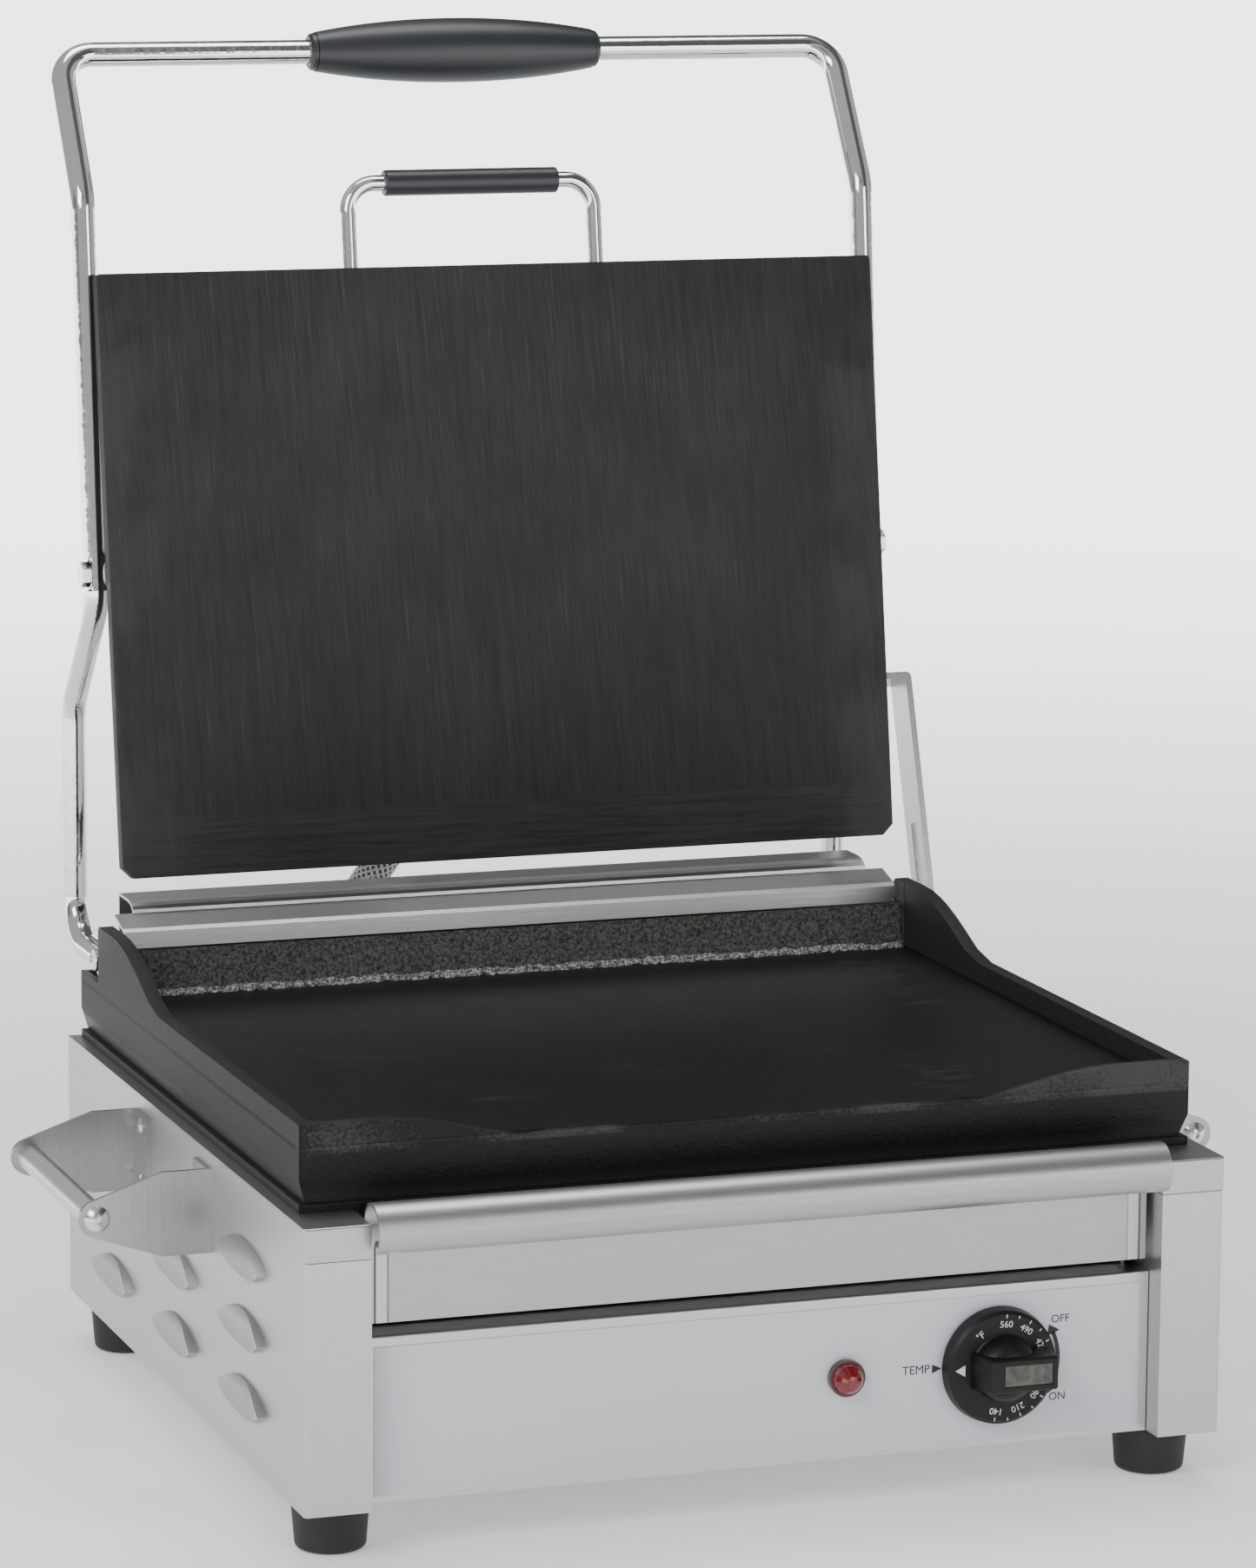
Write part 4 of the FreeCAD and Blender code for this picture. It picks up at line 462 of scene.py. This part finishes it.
bar_left = knob_x - 0.0150
bar_right = knob_x + 0.0195
bar_half = 0.0080
bar_front = knob_low.y
bar_bm = bmesh.new()
bmesh.ops.create_cube(bar_bm, size=1)
for vert in bar_bm.verts:
    front = vert.co.y < 0
    lean_in = 0.0042 if front and vert.co.x < 0 else 0.0
    narrow = 0.0009 if front else 0.0
    vert.co.x = bar_left + lean_in if vert.co.x < 0 else bar_right - narrow * 0.5
    vert.co.z = knob_z + (bar_half - narrow) * (1 if vert.co.z > 0 else -1)
    vert.co.y = bar_front if front else dial_y + 0.0005
bmesh.ops.bevel(bar_bm, geom=bar_bm.edges, offset=0.0013, offset_type="OFFSET", segments=3, profile=0.5,
                affect="EDGES", material=-1)
face = min(bar_bm.faces, key=lambda f: f.calc_center_median().y)
bmesh.ops.inset_region(bar_bm, faces=[face], thickness=0.0018, depth=0.0)
plate_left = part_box("knob_insert")[0].x - 0.0004
for vert in face.verts:
    if vert.co.x < plate_left:
        vert.co.x = plate_left
bmesh.ops.inset_region(bar_bm, faces=[face], thickness=0.0002, depth=-0.0009)
keep(bar_bm, "knob_bar", knob_black, "knob")
plate_metal, place = new_finish("knob_plate", Metallic=1.0)
feed(plate_metal, height=place.noise(900, 4), depth=0.0001,
     Base_Color=place.noise(260, 3).blend(grey(0.02), grey(0.20, (1, 0.97, 0.9))),
     Roughness=0.2 + place.noise(300) * 0.3)
dress(plate_metal, "knob_insert")

white_print, place = new_finish("white_print", Roughness=0.55)
feed(white_print, Base_Color=place.noise(900).blend(grey(0.62), grey(0.8)))
dial_bm = bmesh.new()
dial_print_y = dial_y - 0.00003
dial_marks = (("560", 87), ("490", 57.5), ("420", 27.5), ("350", -5), ("280", -38), ("210", -69),
              ("140", -99.5))
numbers_radius = 0.0185
unit_radius = 0.0178
unit_angle = math.radians(126)
for words, bearing in dial_marks:
    angle = math.radians(bearing)
    spot = round_knob(numbers_radius, angle, dial_print_y)
    print_text(dial_bm, words, 0.0040, spot, angle - math.pi / 2)
unit_spot = round_knob(unit_radius, unit_angle, dial_print_y)
print_text(dial_bm, "°F", 0.0044, unit_spot, math.radians(36))
bearings = [mark[1] for mark in dial_marks]
ticks = [(bearing, 0.0012) for bearing in bearings]
ticks += [((first + second) / 2, 0.0009) for first, second in zip(bearings, bearings[1:])]
for bearing, length in ticks:
    angle = math.radians(bearing)
    along = Vector((math.cos(angle), 0, math.sin(angle)))
    side = Vector((-math.sin(angle), 0, math.cos(angle))) * 0.00022
    outer = Vector((knob_x, dial_print_y, knob_z)) + along * 0.0228
    inner = outer - along * (length * 1.3)
    print_shape(dial_bm, [outer + side, inner + side, inner - side, outer - side])
white_pointer = [(-0.0216, 0.0004), (-0.0172, 0.0026), (-0.0172, -0.0022)]
print_shape(dial_bm, [Vector((knob_x + x, dial_print_y, knob_z + z)) for x, z in white_pointer])
keep(dial_bm, "dial_print", white_print, "knob", smooth=0)

# Drawer: a loose tray behind a front sheet whose top edge is rolled forward as the pull. The sheet's ends
# are folded back, so a rounded band runs down each, made brighter by a painted highlight.
drawer_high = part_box("drawer_front")[1]
fold_tint = (0.97, 1, 1.03)
fold_steel, place = new_finish("folded_steel", Metallic=1.0)
grain = place.noise(2600, 3, (0.035, 1, 1), 0.7)
strokes = place.noise(520, 4, (0.035, 1, 1), 0.6)
sideways = place.part("X").math("ABSOLUTE", place.part("X"))
fold_line = drawer_high.x - 0.0095
# The fold band rounds the surface through the bump and lightens the colour as a painted highlight.
fold_bump_and_highlight = sideways.band(fold_line, fold_line + 0.0042, 0.0012) * (1 - place.part("Z").step(0.126, 0.130))
shade = grain * 0.35 + strokes * 0.4 + place.noise(9, 2) * 0.25
feed(fold_steel, height=(grain + strokes) * 0.03 + fold_bump_and_highlight * 1.0, depth=0.0012,
     Base_Color=(shade * 0.6 + fold_bump_and_highlight * 0.4).blend(grey(0.34, fold_tint), grey(0.66, fold_tint)),
     Roughness=0.30 + shade * 0.14)
dress(fold_steel, "drawer_front")


# Lower grill plate: one iron casting. The cooking surface is ground and seasoned black, the front stays
# glossy with the seasoning oil, the sides are dull and the rear wall keeps its sand-cast grain. The front's
# colour is darkened as painted shade and flecked with painted glints.
def eased(node, width, segments=3, crease=28):
    """A copy of a casting with every corner rounded, as sand moulds leave them."""
    bm = bmesh.new()
    bm.from_mesh(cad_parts[node].data)
    bmesh.ops.remove_doubles(bm, verts=bm.verts, dist=2e-6)
    bmesh.ops.dissolve_limit(bm, angle_limit=math.radians(1.5), verts=bm.verts, edges=bm.edges)
    corners = [edge for edge in bm.edges
               if len(edge.link_faces) == 2 and edge.calc_face_angle(0) > math.radians(crease)]
    bmesh.ops.bevel(bm, geom=corners, offset=width, offset_type="OFFSET", segments=segments, profile=0.5,
                    affect="EDGES", material=-1, clamp_overlap=True)
    bmesh.ops.triangulate(bm, faces=bm.faces)
    return bm


grill_low, grill_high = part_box("lower_grill_plate")
plate_low, plate_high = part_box("upper_plate")
cook_z = grill_low.z + 0.0260
wall_y = casing_middle_y + 0.1415
iron, place = new_finish("seasoned_iron", Specular_IOR_Level=0.22)
x_place = place.part("X")
y_place = place.part("Y")
z_place = place.part("Z")
away = x_place.math("ABSOLUTE", x_place)
grit = place.noise(620, 5, roughness=0.7)
sand = place.noise(1500, 3, roughness=0.6)
patches = place.noise(14, 4, roughness=0.65)
smears = place.noise(150, 4, (0.25, 1, 1), 0.7)
outer_side = away.step(grill_high.x - 0.0012, grill_high.x - 0.0002)
front_side = 1 - y_place.step(grill_low.y + 0.0008, grill_low.y + 0.0030)
rear_wall = y_place.step(wall_y - 0.0018, wall_y - 0.0004) * z_place.step(cook_z - 0.0005, cook_z + 0.0005)
rear_wall = rear_wall * (1 - away.step(grill_high.x - 0.0070, grill_high.x - 0.0060))
floor_area = (1 - rear_wall) * (1 - z_place.step(cook_z + 0.0006, cook_z + 0.0012))
floor_area = floor_area * z_place.step(cook_z - 0.0012, cook_z - 0.0006)
glints = sand.step(0.62, 0.74) * grit.step(0.48, 0.62)
worn = patches.step(0.50, 0.66) * smears.step(0.46, 0.62)
colour = (grit * 0.6 + sand * 0.4).blend(grey(0.008, (0.95, 1, 1.08)), grey(0.030, (0.95, 1, 1.06)))
side_colour = grit.blend(grey(0.018, (0.95, 1, 1.08)), grey(0.046, (0.95, 1, 1.06)))
colour = outer_side.blend(colour, side_colour)
wall_colour = (sand * 0.35 + grit * 0.65).step(0.36, 0.66).blend(grey(0.012, (1.1, 1.02, 0.92)),
                                                                grey(0.16, (1.06, 1.0, 0.92)))
colour = rear_wall.blend(colour, wall_colour)
floor_colour = worn.blend(grey(0.0065, (1.08, 1.0, 0.9)), grey(0.020, (1.1, 1.0, 0.9)))
colour = floor_area.blend(colour, floor_colour)
# Painted shade: the front face is coloured darker than the rest, and painted glints fleck it with light
# grey.
front_shaded_colour = grit.blend(grey(0.003), grey(0.008))
colour = front_side.blend(colour, front_shaded_colour)
colour = (front_side * glints * 0.7).blend(colour, grey(0.10))
spout_edge = y_place.band(grill_low.y + 0.0002, grill_low.y + 0.0040, 0.0006)
spout_edge = spout_edge * z_place.step(cook_z - 0.0030, cook_z - 0.0015)
spout_edge = spout_edge * z_place.band(cook_z - 0.004, cook_z + 0.012, 0.001)
# A lighter, smoother line along the spout's top edge: partly wear, partly a painted highlight.
spout_wear_and_highlight = spout_edge * (patches * 0.6 + grit * 0.4).step(0.44, 0.58)
colour = (spout_wear_and_highlight * 0.5).blend(colour, grey(0.10))
bumps = grit * (0.35 + outer_side * 0.25 + rear_wall * 1.1 - floor_area * 0.27)
bumps = bumps + sand * (rear_wall * 0.6 + 0.1)
rough = 0.33 + outer_side * 0.16 + rear_wall * 0.04 - front_side * 0.13 + grit * 0.16 - spout_wear_and_highlight * 0.10
feed(iron, height=bumps, depth=0.0011, Base_Color=colour, Roughness=rough)
keep(eased("lower_grill_plate", 0.0011), "grill_casting", iron, "base", "lower_grill_plate", smooth=40)

# The fillet at the foot of the rear wall was left as cast: a rough, shiny bead where the grinding stopped.
bead_metal, place = new_finish("cast_bead", Metallic=0.35)
bead_grit = place.noise(900, 4, roughness=0.7)
feed(bead_metal, height=bead_grit, depth=0.0008,
     Base_Color=bead_grit.step(0.40, 0.66).blend(grey(0.04), grey(0.52, (1.03, 1, 0.95))),
     Roughness=0.30 + bead_grit * 0.3)
bead_bm = bmesh.new()
bead_half = grill_high.x - 0.0068
bead_sides = 6
bead_start = Matrix.Translation((-bead_half, wall_y + 0.0001, cook_z + 0.0003))
bmesh.ops.create_circle(bead_bm, cap_ends=True, radius=0.0025, segments=bead_sides,
                        matrix=bead_start @ Matrix.Rotation(math.radians(90), 4, "Y"))
bead_steps = 420
leading = list(bead_bm.faces)
for i in range(bead_steps):
    grown = bmesh.ops.extrude_face_region(bead_bm, geom=leading)
    if i > 0:
        bmesh.ops.delete(bead_bm, geom=leading, context="FACES_ONLY")
    leading = [item for item in grown["geom"] if isinstance(item, bmesh.types.BMFace)]
    moved = [item for item in grown["geom"] if isinstance(item, bmesh.types.BMVert)]
    bmesh.ops.translate(bead_bm, verts=moved, vec=(2 * bead_half / bead_steps, 0, 0))
for vert in bead_bm.verts:
    wander = rough_noise.noise(Vector((vert.co.x * 90, 0.3, 0))) * 0.0007
    lump = rough_noise.noise(vert.co * 480) * 0.0013
    vert.co += Vector((0, lump - 0.0004, max(wander + lump, -0.0014)))
keep(bead_bm, "cast_bead", bead_metal, "base", smooth=60)

# Rear guard: a strip of stainless folded to a lip in front and a riser behind. It covers the hinge and is
# screwed to the back of the casting, in the same bright sheet as the control panel.
dress(front_steel, "rear_guard")

# Hinge: four steel bearings on the casting with the lid's shaft through them, and two wound springs that
# help the lid up. The heaters' clamping straps are cut from the same dull steel.
bearing_steel, place = new_finish("bearing_steel", Metallic=1.0)
feed(bearing_steel, height=place.noise(500, 4), depth=0.0001,
     Base_Color=place.noise(120).blend(grey(0.30), grey(0.45)), Roughness=0.35 + place.noise(300) * 0.2)
dress(bearing_steel, "hinge_bearings", "hinge_springs", "lower_heater_straps", "upper_heater_straps")

# Lid frame: one bent steel tube, chrome plated, that swings on the hinge shaft. The small handle's rod is
# plated the same way, and the carrying handles' bars are left satin.
chrome, place = new_finish("chrome_plate", Metallic=1.0)
feed(chrome, height=place.noise(140, 2), depth=0.00012,
     Base_Color=place.noise(40).blend(grey(0.70, (0.98, 1, 1.02)), grey(0.82, (0.98, 1, 1.02))),
     Roughness=0.06 + place.noise(420) * 0.06)
dress(chrome, "frame_tube", "small_handle_rod")
satin_bar, place = new_finish("satin_bar", Metallic=1.0)
feed(satin_bar, height=place.noise(1500, 3, (1, 0.05, 1)), depth=0.00004,
     Base_Color=place.noise(60).blend(grey(0.66), grey(0.80)), Roughness=0.26 + place.noise(700) * 0.12)
dress(satin_bar, "handle_bar_left", "handle_bar_right")

# Grips: a barrel pushed on to the lid's crossbar and a sleeve on the small handle, both moulded in a
# bluish satin black. The barrel ends in a narrow collar each side.
grip_black, place = new_finish("grip_black", Coat_Weight=0.15, Coat_Roughness=0.3)
grip_grain = place.noise(2400, 3)
feed(grip_black, height=grip_grain, depth=0.00004,
     Base_Color=place.noise(50).blend(grey(0.008, (0.75, 1, 1.2)), grey(0.017, (0.75, 1, 1.2))),
     Roughness=0.36 + grip_grain * 0.12)
grip_low, grip_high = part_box("frame_grip")
grip_centre = (grip_low + grip_high) / 2
grip_half = (grip_high.x - grip_low.x) / 2
grip_radius = (grip_high.z - grip_low.z) / 2
grip_end = 0.00825
bore = 0.0055
barrel = [(bore, -grip_half), (grip_end - 0.0012, -grip_half), (grip_end, -grip_half + 0.0010),
          (grip_end + 0.0004, -grip_half + 0.0028), (grip_end - 0.0001, -grip_half + 0.0032)]
barrel_steps = 28
for i in range(barrel_steps + 1):
    along = -0.956 + 1.912 * i / barrel_steps
    barrel.append((grip_end + 0.0002 + (grip_radius - grip_end - 0.0002) * (1 - abs(along) ** 2.1),
                   grip_half * along))
barrel += [(grip_end - 0.0001, grip_half - 0.0032), (grip_end + 0.0004, grip_half - 0.0028),
           (grip_end, grip_half - 0.0010), (grip_end - 0.0012, grip_half), (bore, grip_half)]
barrel.append(barrel[0])
keep(turned(barrel, grip_centre, axis="X", sides=64), "barrel_grip", grip_black, "lid_frame", "frame_grip")
dress(grip_black, "small_handle_grip")

# Upper plate: cast iron, ground in upright strokes over the face and across its lower edge, then
# seasoned black. It hangs by its two pivot bolts.
ground, place = new_finish("ground_face", Specular_IOR_Level=0.22)
x_place = place.part("X")
z_place = place.part("Z")
away = x_place.math("ABSOLUTE", x_place)
drift = place.noise(7, 3)
upright = (place.node("ShaderNodeMapping", {}, {"Vector": place, "Rotation": (0, math.radians(3), 0)}))
strokes = upright.noise(950, 5, (1, 0.030, 0.030), 0.72)
broad = upright.noise(260, 4, (1, 0.05, 0.05), 0.6)
level = place.noise(620, 5, (0.04, 1, 1), 0.7)
foot_band = 1 - z_place.step(plate_low.z + 0.024, plate_low.z + 0.029)
side_band = away.step(plate_high.x - 0.030, plate_high.x - 0.018) * place.noise(22, 3).step(0.35, 0.6)
clouds = place.noise(11, 5, roughness=0.6)
pits = place.noise(1300, 3)
marks = strokes * 0.42 + broad * 0.14 + clouds * 0.30 + pits * 0.14
marks = marks * (1 - foot_band) + (level * 0.6 + clouds * 0.4) * foot_band
marks = marks + side_band * 0.10 + foot_band * 0.05
shade = marks.step(0.34, 0.72)
scored = strokes.step(0.60, 0.70) * clouds.step(0.45, 0.62)
colour = shade.blend(grey(0.011, (1.03, 1, 0.96)), grey(0.032, (1.03, 1, 0.96)))
colour = (scored * 0.5).blend(colour, grey(0.065))
feed(ground, height=marks + pits * 0.25, depth=0.00035, Base_Color=colour,
     Roughness=0.46 + drift * 0.12 - scored * 0.1 + pits * 0.08)
keep(eased("upper_plate", 0.0007, 2), "upper_casting", ground, "upper_plate", "upper_plate", smooth=40)

# Cover over the upper heater, the lid's stop bar and the carrying handles' brackets: stainless sheet and
# flat bar, folded and bolted on. The brackets are brighter than the cover.
cover_steel = brushed("cover_steel", "X", 0.55, 0.32)
dress(cover_steel, "upper_cover")
bracket_steel = brushed("bracket_steel", "Z", 0.40, 0.22)
dress(bracket_steel, "handle_brackets_left", "handle_brackets_right", "lid_stop_bar")

# Conduit: steel braid over a heat-proof hose that feeds the upper heater, between two plated brass
# fittings. It follows the casing at its gland and the lid at its elbow, and bends between them.
gland_metal, place = new_finish("plated_brass", Metallic=1.0)
feed(gland_metal, height=place.noise(700, 3), depth=0.00005,
     Base_Color=place.noise(90).blend(grey(0.50, (1, 0.97, 0.88)), grey(0.62, (1, 0.97, 0.88))),
     Roughness=0.2 + place.noise(300) * 0.15)
dress(gland_metal, "inlet_gland", "conduit_gland", "conduit_elbow", "thermostat_bulb")
braid, place = new_finish("steel_braid", Metallic=1.0)
weave_map = Link(braid.node_tree, braid.node_tree.nodes.new("ShaderNodeUVMap").outputs["UV"])
around = weave_map.part("X") * (2 * math.pi * 14)
along = weave_map.part("Y") * (2 * math.pi * 14)
left_lay = (around + along).math("SINE", around + along)
right_lay = (around - along).math("SINE", around - along)
weave = left_lay.math("MAXIMUM", left_lay, right_lay)
feed(braid, height=weave, depth=0.0004,
     Base_Color=weave.step(-0.4, 0.9).blend(grey(0.10, (1, 0.97, 0.95)), grey(0.50, (1, 0.99, 0.97))),
     Roughness=0.30 + place.noise(400) * 0.15)
conduit_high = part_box("lid_conduit")[1]
gland_low, gland_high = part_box("conduit_gland")
elbow_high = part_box("conduit_elbow")[1]
conduit_radius = 0.0080
gland_x = (gland_low.x + gland_high.x) / 2
gland_z = (gland_low.z + gland_high.z) / 2
lid_lean = math.radians(8.5)
up_lid = Vector((0, math.sin(lid_lean), math.cos(lid_lean)))
mouth = Vector((0, elbow_high.y - 0.0105 * math.cos(lid_lean) - 0.0038, conduit_high.z - 0.0012))
loop_y = casing_middle_y + 0.186 + 0.0445
lower_corner = Vector((gland_x, loop_y, gland_z))
upper_corner = mouth - up_lid * 0.0843
route = bpy.data.curves.new("conduit_route", "CURVE")
route.dimensions = "3D"
spline = route.splines.new("NURBS")
gland_start = Vector((gland_x, gland_low.y + 0.004, gland_z))
rise = upper_corner - lower_corner
control = [gland_start, gland_start.lerp(lower_corner, 0.45), lower_corner - Vector((0, 0.006, 0)),
           lower_corner + rise * 0.10, lower_corner + rise * 0.5, lower_corner + rise * 0.86,
           upper_corner + up_lid * 0.012, mouth - up_lid * 0.03, mouth]
spline.points.add(len(control) - 1)
for point, spot in zip(spline.points, control):
    point.co = (*spot, 1)
spline.order_u = 3
spline.use_endpoint_u = True
spline.resolution_u = 14
holder = bpy.data.objects.new("conduit_route", route)
bpy.context.scene.collection.objects.link(holder)
bpy.context.view_layer.update()
path_mesh = bpy.data.meshes.new_from_object(holder)
bpy.data.objects.remove(holder)
path = [vert.co.copy() for vert in path_mesh.vertices]
conduit_bm = bmesh.new()
uv_layer = conduit_bm.loops.layers.uv.new("UVMap")
conduit_sides = 28
heading = (path[1] - path[0]).normalized()
facing = heading.to_track_quat("Z", "Y").to_matrix().to_4x4()
bmesh.ops.create_circle(conduit_bm, cap_ends=False, radius=conduit_radius, segments=conduit_sides,
                        matrix=Matrix.Translation(path[0]) @ facing)
ring_edges = list(conduit_bm.edges)
first_ring = list(conduit_bm.edges)
travelled = 0.0
girth = 2 * math.pi * conduit_radius
for i in range(1, len(path)):
    grown = bmesh.ops.extrude_edge_only(conduit_bm, edges=ring_edges)
    ring_verts = [item for item in grown["geom"] if isinstance(item, bmesh.types.BMVert)]
    faces = [item for item in grown["geom"] if isinstance(item, bmesh.types.BMFace)]
    ring_edges = [edge for edge in grown["geom"] if isinstance(edge, bmesh.types.BMEdge)
                  and all(vert in ring_verts for vert in edge.verts)]
    after = (path[min(i + 1, len(path) - 1)] - path[i - 1]).normalized()
    swing = heading.rotation_difference(after).to_matrix().to_4x4()
    moving = Matrix.Translation(path[i]) @ swing @ Matrix.Translation(-path[i - 1])
    bmesh.ops.transform(conduit_bm, matrix=moving, verts=ring_verts)
    step_length = (path[i] - path[i - 1]).length
    for face in faces:
        corners = list(face.loops)
        on_new = [loop.vert in ring_verts for loop in corners]
        for loop, new in zip(corners, on_new):
            loop[uv_layer].uv.y = (travelled + (step_length if new else 0.0)) / girth
    travelled += step_length
    heading = after
conduit_bm.verts.ensure_lookup_table()
for face in conduit_bm.faces:
    slots = [(loop.vert.index % conduit_sides) for loop in face.loops]
    wraps = max(slots) - min(slots) > conduit_sides / 2
    for loop, slot_number in zip(face.loops, slots):
        lap = conduit_sides if wraps and slot_number < conduit_sides / 2 else 0
        loop[uv_layer].uv.x = (slot_number + lap) / conduit_sides
bmesh.ops.edgeloop_fill(conduit_bm, edges=ring_edges)
bmesh.ops.edgeloop_fill(conduit_bm, edges=first_ring)
conduit = keep(conduit_bm, "braided_conduit", braid, None, "lid_conduit", smooth=60)
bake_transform(conduit)

# Inside: sheathed heaters, mineral wool over the upper one, and the moulded regulator and terminal
# block, all bolted in place and seen only through the openings.
sheath, place = new_finish("heater_sheath", Metallic=0.8)
feed(sheath, height=place.noise(600, 3), depth=0.00006,
     Base_Color=place.noise(60, 4).blend(grey(0.05, (1.1, 1, 0.9)), grey(0.16, (1.15, 1, 0.85))),
     Roughness=0.45 + place.noise(200) * 0.2)
dress(sheath, "lower_heater", "upper_heater")
wool, place = new_finish("mineral_wool", Roughness=0.95)
fibres = place.noise(500, 6, (0.3, 1, 1), 0.7)
feed(wool, height=fibres, depth=0.0008,
     Base_Color=fibres.blend(grey(0.45, (1, 0.96, 0.8)), grey(0.7, (1, 0.96, 0.85))))
dress(wool, "upper_insulation")
phenolic, place = new_finish("phenolic", Roughness=0.5)
feed(phenolic, height=place.noise(1500), depth=0.00005,
     Base_Color=place.noise(80).blend(grey(0.02), grey(0.05)))
dress(phenolic, "thermostat")
nylon, place = new_finish("nylon_block", Roughness=0.5)
feed(nylon, height=place.noise(1500), depth=0.00005,
     Base_Color=place.noise(80).blend(grey(0.6, (1, 0.98, 0.9)), grey(0.75, (1, 0.98, 0.92))))
dress(nylon, "terminal_block")
